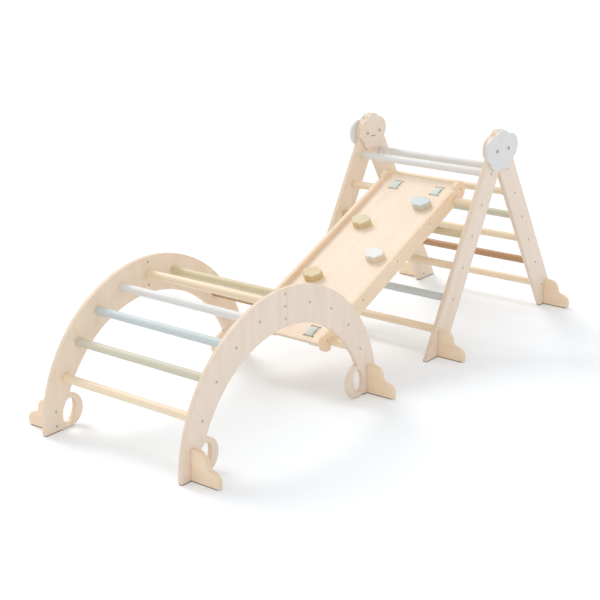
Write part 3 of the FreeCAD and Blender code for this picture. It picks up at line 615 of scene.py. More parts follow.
def flat_face(points, rims, turned):
    """Triangles that fill the first rim and leave the others open; turned ones look down."""
    corners = [[Vector((*points[spot, :2], 0)) for spot in rim] for rim in rims]
    face = np.concatenate(rims)[np.array(tessellate_polygon(corners))]
    a, b, c = (points[face[:, corner], :2] for corner in range(3))
    ahead, aside = b - a, c - a
    clockwise = ahead[:, 0] * aside[:, 1] - ahead[:, 1] * aside[:, 0] < 0
    face[clockwise != turned] = face[clockwise != turned][:, ::-1]
    return face


def sheet_arrays(loops, profile, grain=0.0, hole_easing=1.0, veneer=VENEER):
    """Points (u, v, height), quads, triangles and grain places; the first loop is the outside."""
    insets, heights = profile
    points, quads, rims, start = [], [], [], 0
    for index, loop in enumerate(loops):
        line = loop[::-1] if index else loop
        share = hole_easing if index else 1.0
        flat = line + share * insets[:, None, None] * inward(line)
        tall = np.broadcast_to(heights[:, None, None], flat.shape[:2] + (1,))
        points.append(np.concatenate((flat, tall), axis=2).reshape(-1, 3))
        quads.append(ring_quads(len(insets), len(line), start))
        rims.append(start + np.arange(len(line)))
        start += len(insets) * len(line)
    points = np.vstack(points)
    high_rims = [rim + (len(insets) - 1) * len(rim) for rim in rims]
    triangles = np.vstack((flat_face(points, rims, True), flat_face(points, high_rims, False)))
    along = points[:, 0] * math.cos(grain) + points[:, 1] * math.sin(grain)
    across = points[:, 1] * math.cos(grain) - points[:, 0] * math.sin(grain)
    thickness = heights[-1] - heights[0]
    veneers = 2 * round(thickness / veneer / 2)
    counted = (points[:, 2] - heights[0]) / thickness * veneers
    return points, np.vstack(quads), triangles, np.column_stack((along, across, counted))


print("edges are eased by", EASING * 1000, "mm in", ROUND_STEPS, "steps")

# %% [markdown]
# ## Placing a sheet
# A sheet is worked out lying flat, as u, v and a height, because that is how it is cut. Then its
# points are turned into place, and the object itself stays at the origin. Every sheet also takes
# its grain from another part of the pattern, as if cut from another part of the board.

# %% Put sheets in place
GRAIN_OFFSET = np.array((1.37, 0.61, 0.0))
sheets_made = []


def upright(x, y):
    """Places a sheet that stands lengthwise: u along x, v up, height along y."""
    return lambda points: points[:, [0, 2, 1]] + (x, y, 0)


def crosswise(x, y):
    """Places a sheet that stands across: u along y, v up, height along x."""
    return lambda points: points[:, [2, 0, 1]] + (x, y, 0)


def on_ramp_side(y):
    """Places a sheet on the ramp's side: u uphill, v square to the board, height along y."""
    return lambda points: ramp_point(points[:, 0], y - ramp_y + points[:, 2], points[:, 1])


def on_ramp_top(points):
    """Places a sheet that lies on the ramp: u uphill, v along y, height square to the board."""
    return ramp_point(points[:, 0], points[:, 1], points[:, 2])


def stacked(layers):
    """Several layers joined into one set of arrays."""
    counts = np.cumsum([0] + [len(layer[0]) for layer in layers[:-1]])
    points, grain_places = (np.vstack([layer[part] for layer in layers]) for part in (0, 3))
    quads, triangles = (
        np.vstack([layer[part] + count for layer, count in zip(layers, counts)]) for part in (1, 2)
    )
    return points, quads, triangles, grain_places


def finish_sheet(node, layers, place, finish):
    """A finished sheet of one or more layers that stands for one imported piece."""
    points, quads, triangles, grain_places = stacked(layers)
    grain_places = grain_places + GRAIN_OFFSET * len(sheets_made)
    mesh = new_mesh(node + "_finished", place(points), quads, triangles, grain_places)
    sheets_made.append(stand_in(mesh, finish, node))


def cut_sheet(node, loops, profile, place, finish, grain=0.0):
    """A finished sheet of one layer."""
    finish_sheet(node, [sheet_arrays(loops, profile, grain)], place, finish)


print("grain moves on by", GRAIN_OFFSET[:2], "m from sheet to sheet")

# %% [markdown]
# ## The arch panels
# Each side of the arch is two halves with a half lap at the crown: the outer layer's seam lies
# behind the middle and the inner layer's in front of it, so a half is two layers of half the
# thickness. At its foot a half swells into a round lobe with a leaning oval hole to carry it by.
# The lobe is a circle that meets the panel's inner arc, so the outline turns from one circle to
# the other where they cross.

# %% Work out the arch's outline
LAP_LENGTH = 0.034
LAP_SHIFT = -0.005
FOOT_DEPTH = 0.080
CROWN_DEPTH = 0.132
LOOP_RADIUS = 0.061
LOOP_INSET = 0.110
LOOP_LIFT_SHARE = 0.967
LOOP_HOLE = (0.054, 0.087)
LOOP_HOLE_END = 0.022
LOOP_HOLE_LEAN = math.radians(16)
SLANT = math.sqrt(0.5)

arch_half = arch_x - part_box("arch_panel_front_right")[0].x
arch_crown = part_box("arch_panel_front_right")[1].z
arch_drop = (arch_half ** 2 + pad ** 2 - arch_crown ** 2) / (2 * (arch_crown - pad))
arch_radius = arch_crown + arch_drop
inner_rise = arch_crown - CROWN_DEPTH - pad
foot_opening = arch_half - FOOT_DEPTH
inner_radius = (foot_opening ** 2 + inner_rise ** 2) / (2 * inner_rise)
inner_z = arch_crown - CROWN_DEPTH - inner_radius
loop_x = arch_half - LOOP_INSET
loop_z = pad + LOOP_LIFT_SHARE * LOOP_RADIUS


def circle_crossings(x, z, radius, other_z, other_radius):
    """The two points where a circle meets one centred on the z axis, the lower point first."""
    across = np.array((-x, other_z - z))
    apart = np.hypot(*across)
    along = (apart ** 2 + radius ** 2 - other_radius ** 2) / (2 * apart)
    aside = math.sqrt(radius ** 2 - along ** 2)
    base = np.array((x, z)) + across * along / apart
    offset = np.array((-across[1], across[0])) * aside / apart
    return sorted((tuple(base - offset), tuple(base + offset)), key=lambda spot: spot[1])


def on_inner_arc(x):
    """The point of the panel's inner arc above x."""
    return x, inner_z + math.sqrt(inner_radius ** 2 - x ** 2)


def arch_outline(seam):
    """The rear half of an arch panel, from its seam at the crown down to its foot and lobe."""
    low_cross, high_cross = circle_crossings(loop_x, loop_z, LOOP_RADIUS, inner_z, inner_radius)
    chord = LOOP_RADIUS * math.sqrt(1 - LOOP_LIFT_SHARE ** 2)
    between = on_inner_arc((high_cross[0] + seam) / 2)
    return trace((
        (seam, math.sqrt(arch_radius ** 2 - seam ** 2) - arch_drop),
        (arch_radius * SLANT, arch_radius * SLANT - arch_drop, BOW),
        (arch_half, pad), (foot_opening, pad),
        on_inner_arc((foot_opening + low_cross[0]) / 2) + (BOW,),
        low_cross, (loop_x + chord, pad), (loop_x - chord, pad),
        (loop_x - LOOP_RADIUS, loop_z, BOW), high_cross,
        between + (BOW,), on_inner_arc(seam),
    ))


def loop_hole():
    """An oval of four tangent arcs, small at its ends and large along its sides, then leaned."""
    wide, tall = (length / 2 for length in LOOP_HOLE)
    reach = tall - LOOP_HOLE_END
    large = (reach ** 2 + wide ** 2 - LOOP_HOLE_END ** 2) / (2 * (wide - LOOP_HOLE_END))
    joint_share = large / (large - LOOP_HOLE_END)
    joint_x, joint_y = wide - large + (large - wide) * joint_share, reach * joint_share
    oval = trace((
        (joint_x, joint_y), (0, tall, BOW), (-joint_x, joint_y), (-wide, 0, BOW),
        (-joint_x, -joint_y), (0, -tall, BOW), (joint_x, -joint_y), (wide, 0, BOW),
    ))
    cosine, sine = math.cos(LOOP_HOLE_LEAN), math.sin(LOOP_HOLE_LEAN)
    return oval @ np.array(((cosine, sine), (-sine, cosine))) + (loop_x, loop_z)


print("arch radius", round(arch_radius, 4), "outside and", round(inner_radius, 4), "inside")

# %% [markdown]
# ## Cutting the panels
# The outline is drawn for the rear half, and the front half is its mirror image. A Mirror modifier
# would also mirror the seams, but the laps of both halves have to fit into each other, so each
# half gets seams of its own.

# %% Cut the arch panels
# The far (left) side takes the mellower copy of the birch: painted warm light bounced onto the far
# side's inner faces
side_sheet = {"right": plywood, "left": mellow_plywood}


def mirrored(line, end):
    """The line on the front or the rear side, still counter-clockwise."""
    return line if end > 0 else (line * (-1, 1))[::-1]


def arch_panel(end_name, side_name):
    """Two layers, each with its own seam, rounded on the panel's faces only."""
    end, side = ENDS[end_name], SIDES[side_name]
    node = f"arch_panel_{end_name}_{side_name}"
    layers = []
    for outer in (True, False):
        seam = end * (LAP_SHIFT + (LAP_LENGTH / 2 if outer else -LAP_LENGTH / 2))
        loops = [mirrored(arch_outline(seam), end), mirrored(loop_hole(), end)]
        if (side > 0) == outer:
            profile = edge_profile(0, ply / 2, 0.0, EASING)
        else:
            profile = edge_profile(-ply / 2, 0, EASING, 0.0)
        layers.append(sheet_arrays(loops, profile, grain=math.pi / 2))
    finish_sheet(node, layers, upright(arch_x, middle(node)[1]), side_sheet[side_name])


for end_name in ENDS:
    for side_name in SIDES:
        arch_panel(end_name, side_name)
print(len(sheets_made), "arch panels")

# %% [markdown]
# ## Foot plates
# Foot plates stand square to the panels and legs and are cut like a boot. The outline is a table
# of shares of the plate's own reach and height, so one table serves plates of any size, on either
# side.

# %% Cut the foot plates
BOOT_SHARES = (
    (0, 0), (1, 0), (1, 0.1), (0.955, 0.35, BOW), (0.8, 0.47), (0.7, 0.49),
    (0.6, 0.55, BOW), (0.555, 0.64), (0.475, 0.88, BOW), (0.3, 1), (0, 1),
)

for node in (name for name in body_of if "_foot_" in name):
    reach, height = extent(node)[1:]
    side = side_of(node)
    inner_y = side * np.abs([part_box(node)[0].y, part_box(node)[1].y]).min()
    boot_steps = scaled(BOOT_SHARES, reach, height)
    boot = trace([(side * u, pad + v) + tuple(bow) for u, v, *bow in boot_steps])
    cut_sheet(node, [boot], sheet_profile(ply), crosswise(middle(node)[0], inner_y), warm_plywood)
print(len(sheets_made), "sheets with the foot plates")

# %% [markdown]
# ## Legs
# A leg is a leaning board. Its top lies between the two cloud plates of the ladder's head and is
# cut upright where it meets its partner. A straight top would leave a step between the plates, so
# the top follows half the inner cloud's outline wherever that stands out from the leg, and the
# head looks like one flush stack.

# %% Cut the legs
CLOUD_SHARES = (
    (-0.42, 0.71), (-1, 0.19, BOW), (-0.7, -0.56), (-0.42, -1, BOW), (0, -0.88),
    (0.42, -1, BOW), (0.7, -0.56), (1, 0.19, BOW), (0.42, 0.71), (0, 1, BOW),
)
HALF_CLEAR = 0.001
LOBE_SHARE = 0.5


def cloud_rise(end, edge_x, top):
    """Half the inner cloud's outline, where it stands out beyond a leg's edge or above its top."""
    width, _, height = extent("inner_cloud_right")
    cloud = trace(scaled(CLOUD_SHARES, width / 2, height / 2))
    centre = middle("inner_cloud_right")[2]
    cloud = cloud[np.argsort(np.arctan2(cloud[:, 1], end * cloud[:, 0]))] + (0, centre)
    own_half = end * cloud[:, 0] > HALF_CLEAR
    beyond = end * (cloud[:, 0] - edge_x(cloud[:, 1])) > 0
    above = cloud[:, 1] > top
    upper_lobes = cloud[:, 1] > centre - height / 2 * LOBE_SHARE
    rise = cloud[own_half & (beyond | above) & upper_lobes]
    return [tuple(spot) for spot in rise] + [(0, centre + height / 2)]


def leg_outline(end_name):
    """Foot corners, the cloud's half outline and the upright trim, from the ladder's own rungs."""
    top_rung = middle(end_name + "_ladder_rung_1") - (triangle_x, 0, 0)
    low_rung = middle(end_name + "_ladder_rung_6") - (triangle_x, 0, 0)
    slope = (low_rung - top_rung)[0] / (low_rung - top_rung)[2]
    half_run = top_rung[0]
    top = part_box(f"triangle_leg_{end_name}_right")[1].z
    foot = top_rung[0] + (pad - top_rung[2]) * slope
    head = cloud_rise(ENDS[end_name], lambda z: 2 * half_run + (z - top_rung[2]) * slope, top)
    feet = [(foot - half_run, pad), (foot + half_run, pad)]
    return trace(feet + head + [(0, top_rung[2])]), math.atan2(1, slope)


for end_name in ENDS:
    outline, lean = leg_outline(end_name)
    for side_name in SIDES:
        node = f"triangle_leg_{end_name}_{side_name}"
        place = upright(triangle_x, middle(node)[1])
        cut_sheet(node, [outline], sheet_profile(ply), place, side_sheet[side_name], grain=lean)
print(len(sheets_made), "sheets with the legs")

# %% [markdown]
# ## Heads with a smile
# Each head of the ladder is a painted cloud outside and a plain one inside, with five lobes. The
# inner one has a smile cut into it. Painting the smile on would leave it flat, so the plate is a
# plain back and a thin front with a crescent hole, and a browned film lies on the floor of the
# groove.

# %% Cut the clouds
SMILE_WIDTH = 0.044
SMILE_DROP = 0.008
SMILE_SAG = 0.010
SMILE_LINE = 0.003
SMILE_DEPTH = 0.0015
SMILE_CHAR = 0.0004
SMILE_EASING = 0.2
FRONT_ROUND_SHARE = 0.8
eye_z = middle("head_bolts")[2]


def smile_outline():
    """A thin crescent between two arcs, below the eyes."""
    corner = eye_z - SMILE_DROP
    return trace((
        (-SMILE_WIDTH / 2, corner), (0, corner - SMILE_SAG, BOW),
        (SMILE_WIDTH / 2, corner), (0, corner - SMILE_SAG + SMILE_LINE, BOW),
    ))


def smiling_layers(cloud, thickness, facing):
    """A plain back and a thin front through which the smile is cut; facing is the front's side."""
    face, groove = facing * thickness / 2, facing * (thickness / 2 - SMILE_DEPTH)
    back, front = sorted((-face, groove)), sorted((groove, face))
    back_round, front_round = (EASING, 0.0), (0.0, SMILE_DEPTH * FRONT_ROUND_SHARE)
    if facing < 0:
        back_round, front_round = back_round[::-1], front_round[::-1]
    back_profile = edge_profile(*back, *back_round)
    front_profile = edge_profile(*front, *front_round)
    front_loops = [cloud, smile_outline()]
    return [
        sheet_arrays([cloud], back_profile, veneer=SOLID),
        sheet_arrays(front_loops, front_profile, hole_easing=SMILE_EASING, veneer=SOLID),
    ]


def charred_smile(node, thickness, facing, place):
    """The browned floor of the smile's groove, a film as deep as the char."""
    groove = facing * (thickness / 2 - SMILE_DEPTH)
    film = sorted((groove, groove + facing * SMILE_CHAR))
    points, *faces_and_grain = sheet_arrays([smile_outline()], edge_profile(*film, 0.0, 0.0))
    new_piece(new_mesh(node + "_smile", place(points), *faces_and_grain), charred, node)


for node in (name for name in body_of if "_cloud_" in name):
    width, thickness, height = extent(node)
    cloud = trace(scaled(CLOUD_SHARES, width / 2, height / 2)) + (0, middle(node)[2])
    place = upright(triangle_x, middle(node)[1])
    if node.startswith("inner"):
        facing = -side_of(node)
        layers = smiling_layers(cloud, thickness, facing)
        charred_smile(node, thickness, facing, place)
    else:
        layers = [sheet_arrays([cloud], sheet_profile(thickness))]
    finish_sheet(node, layers, place, finishes[slot_of[node]])
print(len(sheets_made), "sheets with the heads")

# %% [markdown]
# ## The ramp
# The board lies between two rails whose undersides are notched to hang over the rungs. The rails
# end in a round nose below and in a knob with a short neck above. Slots beside each rung let the
# straps through. The notch is half a circle with straight cheeks, so the same five points draw it
# at both rungs.

# %% Cut the rails and the board
HOOK_GAP = 0.0004
HOOK_LEDGE = 0.0076
BOARD_GAP = 0.001
BOARD_THICKNESS = 0.012
BOARD_END_INSET = 0.005
BOARD_EASING = 0.001
RAIL_LIP = 0.018
RAIL_DROP = 0.020
HIGH_REACH = 0.021
KNOB_RADIUS = 0.037
NECK_REACH = 0.022
NECK_DEPTH = 0.009
SLOT_OFFSET = 0.025
SLOT_LENGTH = 0.046
SLOT_WIDTH = 0.008
STRAP_INSET = 0.064
HIGH_STRAP_SHIFT = 0.006

board_low = rung_radius + BOARD_GAP
board_top = board_low + BOARD_THICKNESS
rail_top = board_top + RAIL_LIP
board_half = extent("ramp_board")[1] / 2
notch = rung_radius + HOOK_GAP
nose_start = notch + HOOK_LEDGE
nose_radius = (rail_top + RAIL_DROP) / 2
nose_height = (rail_top - RAIL_DROP) / 2
high_end = ramp_length + HIGH_REACH
knob_x = high_end + nose_start
knob_height = KNOB_RADIUS - RAIL_DROP
neck_x = knob_x - KNOB_RADIUS * SLANT
hooks = {"low": 0.0, "high": ramp_length}
strap_middles = {"low": 0.0, "high": ramp_length + HIGH_STRAP_SHIFT}


def rail_outline():
    """The underside with its notches, then the knob, its neck, the top edge and the nose."""
    steps = [(-nose_start, -RAIL_DROP)]
    for hook in hooks.values():
        steps += [
            (hook - notch, -RAIL_DROP), (hook - notch, 0), (hook, notch, BOW),
            (hook + notch, 0), (hook + notch, -RAIL_DROP),
        ]
    steps += [
        (knob_x, -RAIL_DROP), (knob_x + KNOB_RADIUS, knob_height, BOW),
        (neck_x, knob_height + KNOB_RADIUS * SLANT),
        (neck_x - NECK_REACH / 2, rail_top - NECK_DEPTH, BOW), (neck_x - NECK_REACH, rail_top),
        (-nose_start, rail_top), (-nose_start - nose_radius, nose_height, BOW),
    ]
    return trace(steps)


def rectangle(x_low, x_high, y_low, y_high):
    """The outline of a plain rectangle."""
    return trace(((x_low, y_low), (x_high, y_low), (x_high, y_high), (x_low, y_high)))


for side_name in SIDES:
    node = "ramp_rail_" + side_name
    place = on_ramp_side(middle(node)[1])
    cut_sheet(node, [rail_outline()], sheet_profile(ply), place, warm_plywood)

strap_y = board_half - STRAP_INSET
board_end = nose_start + nose_radius - BOARD_END_INSET
board_loops = [rectangle(-board_end, high_end + board_end, -board_half, board_half)]
half_width, half_length = SLOT_WIDTH / 2, SLOT_LENGTH / 2
for middle_x in strap_middles.values():
    for side in SIDES.values():
        for shift in (-SLOT_OFFSET, SLOT_OFFSET):
            x, y = middle_x + shift, side * strap_y
            slot = rectangle(x - half_width, x + half_width, y - half_length, y + half_length)
            board_loops.append(slot)
board_profile = edge_profile(board_low, board_top, BOARD_EASING, BOARD_EASING)
cut_sheet("ramp_board", board_loops, board_profile, on_ramp_top, mellow_plywood)
print(len(sheets_made), "sheets with the ramp")

# %% [markdown]
# ## Climbing holds
# Four chunky clouds lie across the ramp and give hands and feet something to grip. They are cut
# like the sheets, but their upper edge has a larger round, so the same profile serves with two
# radii. Each hold has a paint of its own, and its sides are painted darker and warmer than its top:
# a painted shade with warm light bounced from the board.

# %% Make the holds
HOLD_SHARES = ((0.31, 1), (0.503, -1), (0.699, 1), (0.89, -1))
HOLD_WIDTH = 0.082
HOLD_DEPTH = 0.061
HOLD_THICKNESS = 0.026
HOLD_INSET = 0.073
HOLD_ROUND = 0.0035
HOLD_FOOT_ROUND = 0.0005

hold_y = board_half - HOLD_INSET
hold_centres = [(share * ramp_length, side * hold_y) for share, side in HOLD_SHARES]
hold_level = float(ramp_start @ ramp_normal) + board_top + HOLD_THICKNESS
# The painted shade on the holds' sides starts this far below their top
hold_side_shade = (ramp_normal.tolist(), hold_level, HOLD_ROUND)
hold_profile = edge_profile(board_top, board_top + HOLD_THICKNESS, HOLD_FOOT_ROUND, HOLD_ROUND)
hold_steps = scaled(CLOUD_SHARES, HOLD_WIDTH / 2, HOLD_DEPTH / 2)
hold_outline = trace([(v, u) + tuple(bow) for u, v, *bow in hold_steps])
for number, centre in enumerate(hold_centres, start=1):
    node = f"ramp_hold_{number}"
    hold_paint = satin_paint(node + "_satin", PAINTS[slot_of[node]], hold_side_shade)
    cut_sheet(node, [hold_outline + centre], hold_profile, on_ramp_top, hold_paint)
print("holds at", [round(along, 3) for along, _ in hold_centres])

# %% [markdown]
# ## Rungs
# A rung is a turned rod, so it is a profile spun about its axis: full radius along its length and
# a small round at each end, where it sits against the panel.

# %% Turn the rungs
ROD_SIDES = 56
ROD_ROUND = 0.0015


def turned_rod(node):
    """Radius as a function of the length, carried round the rod's axis."""
    low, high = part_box(node)
    insets, lengths = edge_profile(low.y, high.y, ROD_ROUND, ROD_ROUND)
    angle = np.linspace(0, math.tau, ROD_SIDES, endpoint=False)
    radius = (rung_radius - insets)[:, None]
    x, z = middle(node)[[0, 2]]
    grid = np.stack((
        x + radius * np.cos(angle), np.broadcast_to(lengths[:, None], (len(lengths), ROD_SIDES)),
        z + radius * np.sin(angle),
    ), axis=-1)
    rim = np.arange(1, ROD_SIDES - 1)
    cap = np.column_stack((np.zeros_like(rim), rim + 1, rim))
    last = (len(lengths) - 1) * ROD_SIDES
    quads = ring_quads(len(lengths), ROD_SIDES)
    caps = np.vstack((cap, cap[:, ::-1] + last))
    mesh = new_mesh(node + "_turned", grid.reshape(-1, 3), quads, caps)
    return stand_in(mesh, finishes[slot_of[node]], node)


rods = [turned_rod(node) for node in body_of if "_rung_" in node]
print(len(rods), "rungs turned")

# %% [markdown]
# ## Straps
# A strap is a loop of flat webbing: it lies over the board between two slots, goes down along
# their inner walls and hangs slack round the rung. Its section, a flat rounded strip, is carried
# along that closed path. The upper pair is undone before the ramp is swung up, and those two get
# meshes of their own.

# %% Weave the straps
STRAP_WIDTH = 0.030
STRAP_THICKNESS = 0.0024
STRAP_GAP = 0.0005
STRAP_CORNER = 0.004
STRAP_CROWN = 0.0025
STRAP_SLACK = 0.010
TOP_POINTS = 22
CORNER_POINTS = 7
BOTTOM_POINTS = 25
EDGE_POINTS = 5


def strap_path(middle_x):
    """Middle line of the loop: crowned top, round corners, legs and a half circle."""
    half = SLOT_OFFSET - SLOT_WIDTH / 2 + STRAP_GAP + STRAP_THICKNESS / 2
    over = board_top + STRAP_GAP + STRAP_THICKNESS / 2
    run = half - STRAP_CORNER
    x = np.linspace(run, -run, TOP_POINTS)
    top = np.column_stack((x, over + STRAP_CROWN * (1 - (x / run) ** 2)))
    bend = np.linspace(math.pi / 2, math.pi, CORNER_POINTS)[1:]
    left = STRAP_CORNER * np.column_stack((np.cos(bend), np.sin(bend))) + (-run, over - STRAP_CORNER)
    swing = np.linspace(math.pi, math.tau, BOTTOM_POINTS)
    bottom = half * np.column_stack((np.cos(swing), np.sin(swing))) - (0, STRAP_SLACK)
    right = (left * (-1, 1))[::-1]
    return np.vstack((top, left, bottom, right)) + (middle_x, 0)


def strap_section():
    """Flat strip with half-round edges, as width and thickness."""
    turn = np.linspace(-math.pi / 2, math.pi / 2, EDGE_POINTS)
    radius = STRAP_THICKNESS / 2
    edge = np.column_stack((np.cos(turn), np.sin(turn))) * radius + (STRAP_WIDTH / 2 - radius, 0)
    return np.vstack((edge, -edge))


def strap(name, side_name):
    """The section set square to the path at each of its points; returns the length of the loop."""
    node = f"ramp_strap_{name}_{side_name}"
    path, section = strap_path(strap_middles[name]), strap_section()
    step = np.roll(path, -1, axis=0) - np.roll(path, 1, axis=0)
    step /= np.linalg.norm(step, axis=1, keepdims=True)
    outwards = np.column_stack((step[:, 1], -step[:, 0]))
    flat = path[:, None] + outwards[:, None] * section[None, :, 1:]
    across = np.broadcast_to(section[None, :, 0] + SIDES[side_name] * strap_y, flat.shape[:2])
    points = ramp_point(flat[..., 0].ravel(), across.ravel(), flat[..., 1].ravel())
    runs = np.linalg.norm(np.diff(path, axis=0, append=path[:1]), axis=1)
    along = np.broadcast_to((np.cumsum(runs) - runs)[:, None], flat.shape[:2])
    sheet = np.column_stack((along.ravel(), across.ravel(), np.zeros(along.size)))
    count = len(section)
    closing = ring_quads(2, count)
    closing[:, :2] += (len(path) - 1) * count
    closing[:, 2:] -= count
    quads = np.vstack((ring_quads(len(path), count), closing))
    mesh = new_mesh(node + "_woven", points, quads, np.empty((0, 3), int), sheet)
    piece = stand_in(mesh, finishes["strap_webbing"], node)
    if name == "high":
        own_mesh(piece)
    return runs.sum()


loop_lengths = [strap(name, side_name) for name in hooks for side_name in SIDES]
print("strap loops of", round(loop_lengths[0] * 1000), "mm")

# %% [markdown]
# ## The head of a screw
# Rung ends, feet, rails and the crown's lap are held by button heads with a hexagon socket. One
# head is a small stack of rings: the rim, the dome and a hexagon that drops into the socket. Many
# objects could share one mesh, but a packed set of screws is a single piece, so the stack is
# copied within one mesh, by adding each place to the array of its points.

# %% Shape one head and copy it
HEAD_SIDES = 12
HEAD_RINGS = (
    (1.0, -0.003, 0), (1.0, 0.0, 0), (0.94, 0.0007, 0),
    (0.72, 0.0012, 0), (0.46, 0.0013, 1), (0.42, -0.0008, 1),
)
OFF_AXIS = (1.0, 0.2, 0.1)


def head_stack(radius):
    """Rings as (share of the radius, rise, whether six-sided): circles, then hexagons."""
    angle = np.linspace(0, math.tau, HEAD_SIDES, endpoint=False)
    hexagon = math.cos(math.pi / 6) / np.cos((angle + math.pi / 6) % (math.pi / 3) - math.pi / 6)
    rings = []
    for share, rise, six_sided in HEAD_RINGS:
        reach = share * radius * (hexagon if six_sided else np.ones(HEAD_SIDES))
        level = np.full(HEAD_SIDES, rise)
        rings.append(np.column_stack((reach * np.cos(angle), reach * np.sin(angle), level)))
    return np.vstack(rings)


def heads(spots):
    """Points, quads and triangles of many heads, given as (place, outward direction, radius)."""
    rim = np.arange(1, HEAD_SIDES - 1)
    cap = np.column_stack((np.zeros_like(rim), rim, rim + 1))
    last = (len(HEAD_RINGS) - 1) * HEAD_SIDES
    one_quads = ring_quads(len(HEAD_RINGS), HEAD_SIDES)
    one_caps = np.vstack((cap[:, ::-1], cap + last))
    points, quads, triangles = [], [], []
    for number, (place, outward, radius) in enumerate(spots):
        stack = head_stack(radius)
        aside = np.cross(outward, OFF_AXIS)
        aside /= np.linalg.norm(aside)
        axes = np.array((aside, np.cross(outward, aside), outward))
        points.append(place + stack @ axes)
        quads.append(one_quads + number * len(stack))
        triangles.append(one_caps + number * len(stack))
    return np.vstack(points), np.vstack(quads), np.vstack(triangles)


def set_screws(node, spots, finish=finishes["steel_fasteners"]):
    """One mesh of heads that stands for a packed set of screws."""
    mesh = new_mesh(node + "_socketed", *heads(spots))
    stand_in(mesh, finish, node)
    print(node, len(spots))


print("one head has", len(HEAD_RINGS) * HEAD_SIDES, "points")

# %% [markdown]
# ## Screws and bolts of the panels
# Rungs are screwed from outside, foot plates from the inside of their panel. Two bolts on each
# side go through the lap at the crown and show on both faces. Two more on each side make the eyes
# of the ladder's heads, with round nuts on the inside.

# %% Set the panels' screws
PANEL_HEAD = 0.005
BOLT_HEAD = 0.007
BOLT_RISE = 0.002
FOOT_SCREW_HEIGHTS = (0.020, 0.072)
LAP_BOLT_SPACING = 0.084


def panel_spots(rungs, feet, panel):
    """Heads at both ends of every rung, and at every foot from the inside of its panel."""
    face = abs(middle(panel)[1])
    spots = []
    for side in SIDES.values():
        for rung in rungs:
            x, _, z = middle(rung)
            spots.append((np.array((x, side * (face + ply / 2), z)), side * Y_AXIS, PANEL_HEAD))
    for foot in feet:
        side = side_of(foot)
        for height in FOOT_SCREW_HEIGHTS:
            place = np.array((middle(foot)[0], side * (face - ply / 2), pad + height))
            spots.append((place, -side * Y_AXIS, PANEL_HEAD))
    return spots


def lap_spots():
    """The bolts through the crown's laps, above and below the top rung, on both faces of a panel."""
    face = abs(middle("arch_panel_front_right")[1])
    spots = []
    for side in SIDES.values():
        for up in (-1, 1):
            z = middle("arch_rung_5")[2] + up * LAP_BOLT_SPACING / 2
            for facing in (-1, 1):
                place = np.array((arch_x, side * (face + facing * ply / 2), z))
                spots.append((place, facing * side * Y_AXIS, PANEL_HEAD))
    return spots


def eye_spots(layer, outwards):
    """The two bolts of each head, on the face of a cloud that looks outwards (1) or inwards (-1)."""
    half = extent("head_bolts")[0] / 2 - BOLT_HEAD
    spots = []
    for side_name, side in SIDES.items():
        node = f"{layer}_cloud_{side_name}"
        facing = side * outwards
        x, y, _ = middle(node)
        rise = extent(node)[1] / 2 + BOLT_RISE
        for end in ENDS.values():
            place = np.array((x + end * half, y + facing * rise, eye_z))
            spots.append((place, facing * Y_AXIS, BOLT_HEAD))
    return spots


arch_rungs = [node for node in body_of if node.startswith("arch_rung_")]
arch_feet = [node for node in body_of if node.startswith("arch_foot_")]
ladder_rungs = [node for node in body_of if "ladder_rung_" in node]
ladder_feet = [node for node in body_of if node.startswith("triangle_foot_")]
set_screws("arch_screws", panel_spots(arch_rungs, arch_feet, "arch_panel_front_right"))
set_screws("triangle_screws", panel_spots(ladder_rungs, ladder_feet, "triangle_leg_front_right"))
set_screws("arch_lap_bolts", lap_spots())
set_screws("head_bolts", eye_spots("outer", 1), bolt_steel)
set_screws("head_nuts", eye_spots("inner", -1), nut_brass)

# %% [markdown]
# ## Screws of the ramp
# A row of screws holds each rail to the edge of the board, and two from below hold each climbing
# hold. Their places are worked out in the ramp's own frame, so they slope with it.

# %% Set the ramp's screws
RAMP_HEAD = 0.004
RAIL_SCREW_ENDS = (-0.020, 0.050)
RAIL_SCREWS = 5
HOLD_SCREW_SPACING = 0.024

rail_face = board_half + ply
board_middle = (board_low + board_top) / 2
rail_runs = np.linspace(RAIL_SCREW_ENDS[0], ramp_length + RAIL_SCREW_ENDS[1], RAIL_SCREWS)
ramp_spots = [
    (ramp_point([along], [side * rail_face], [board_middle])[0], side * Y_AXIS, RAMP_HEAD)
    for side in SIDES.values() for along in rail_runs
]
for along, across in hold_centres:
    for shift in (-HOLD_SCREW_SPACING / 2, HOLD_SCREW_SPACING / 2):
        spot = ramp_point([along + shift], [across], [board_low])[0]
        ramp_spots.append((spot, -ramp_normal, RAMP_HEAD))
set_screws("ramp_screws", ramp_spots)

# %% [markdown]
# ## Floor pads
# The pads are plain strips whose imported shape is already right, so they only get their finish.

# %% Finish the pads
for node in ("arch_floor_pads", "triangle_floor_pads"):
    frame["nodes"][node].data.materials.clear()
    frame["nodes"][node].data.materials.append(finishes["anti_slip_pad"])
print("pads in", finishes["anti_slip_pad"].name)

# %% [markdown]
# ## Floor and light
# The set stands in a white studio. The sky is white to the camera and to reflections, and the
# floor is lifted a little for them, while what lights the set stays at a plain level: an even sky
# and one large soft light from behind, which lays pale shadows towards the camera.

# %% Build the studio
FLOOR_HALF = 30.0
FLOOR_COLOUR = (0.893, 0.92, 0.95)
FLOOR_ROUGHNESS = 0.9
FLOOR_LIFT = 0.12
WHITE = (1, 1, 1)
SKY_LEVEL = 0.8
SUN_LEVEL = 1.14
SUN_SPREAD = math.radians(28)
SUN_FROM = Vector((0.16, 0.67, 0.71))
DIRECT_RAYS = ("Is Camera Ray", "Is Glossy Ray", "Is Transmission Ray")


def seen_directly(begin):
    """1 for rays from the camera and for mirrored or refracted ones, else 0."""
    rays = (begin.make("ShaderNodeLightPath", output=name) for name in DIRECT_RAYS)
    camera, glossy, refracted = rays
    return (camera + glossy + refracted).clamped()


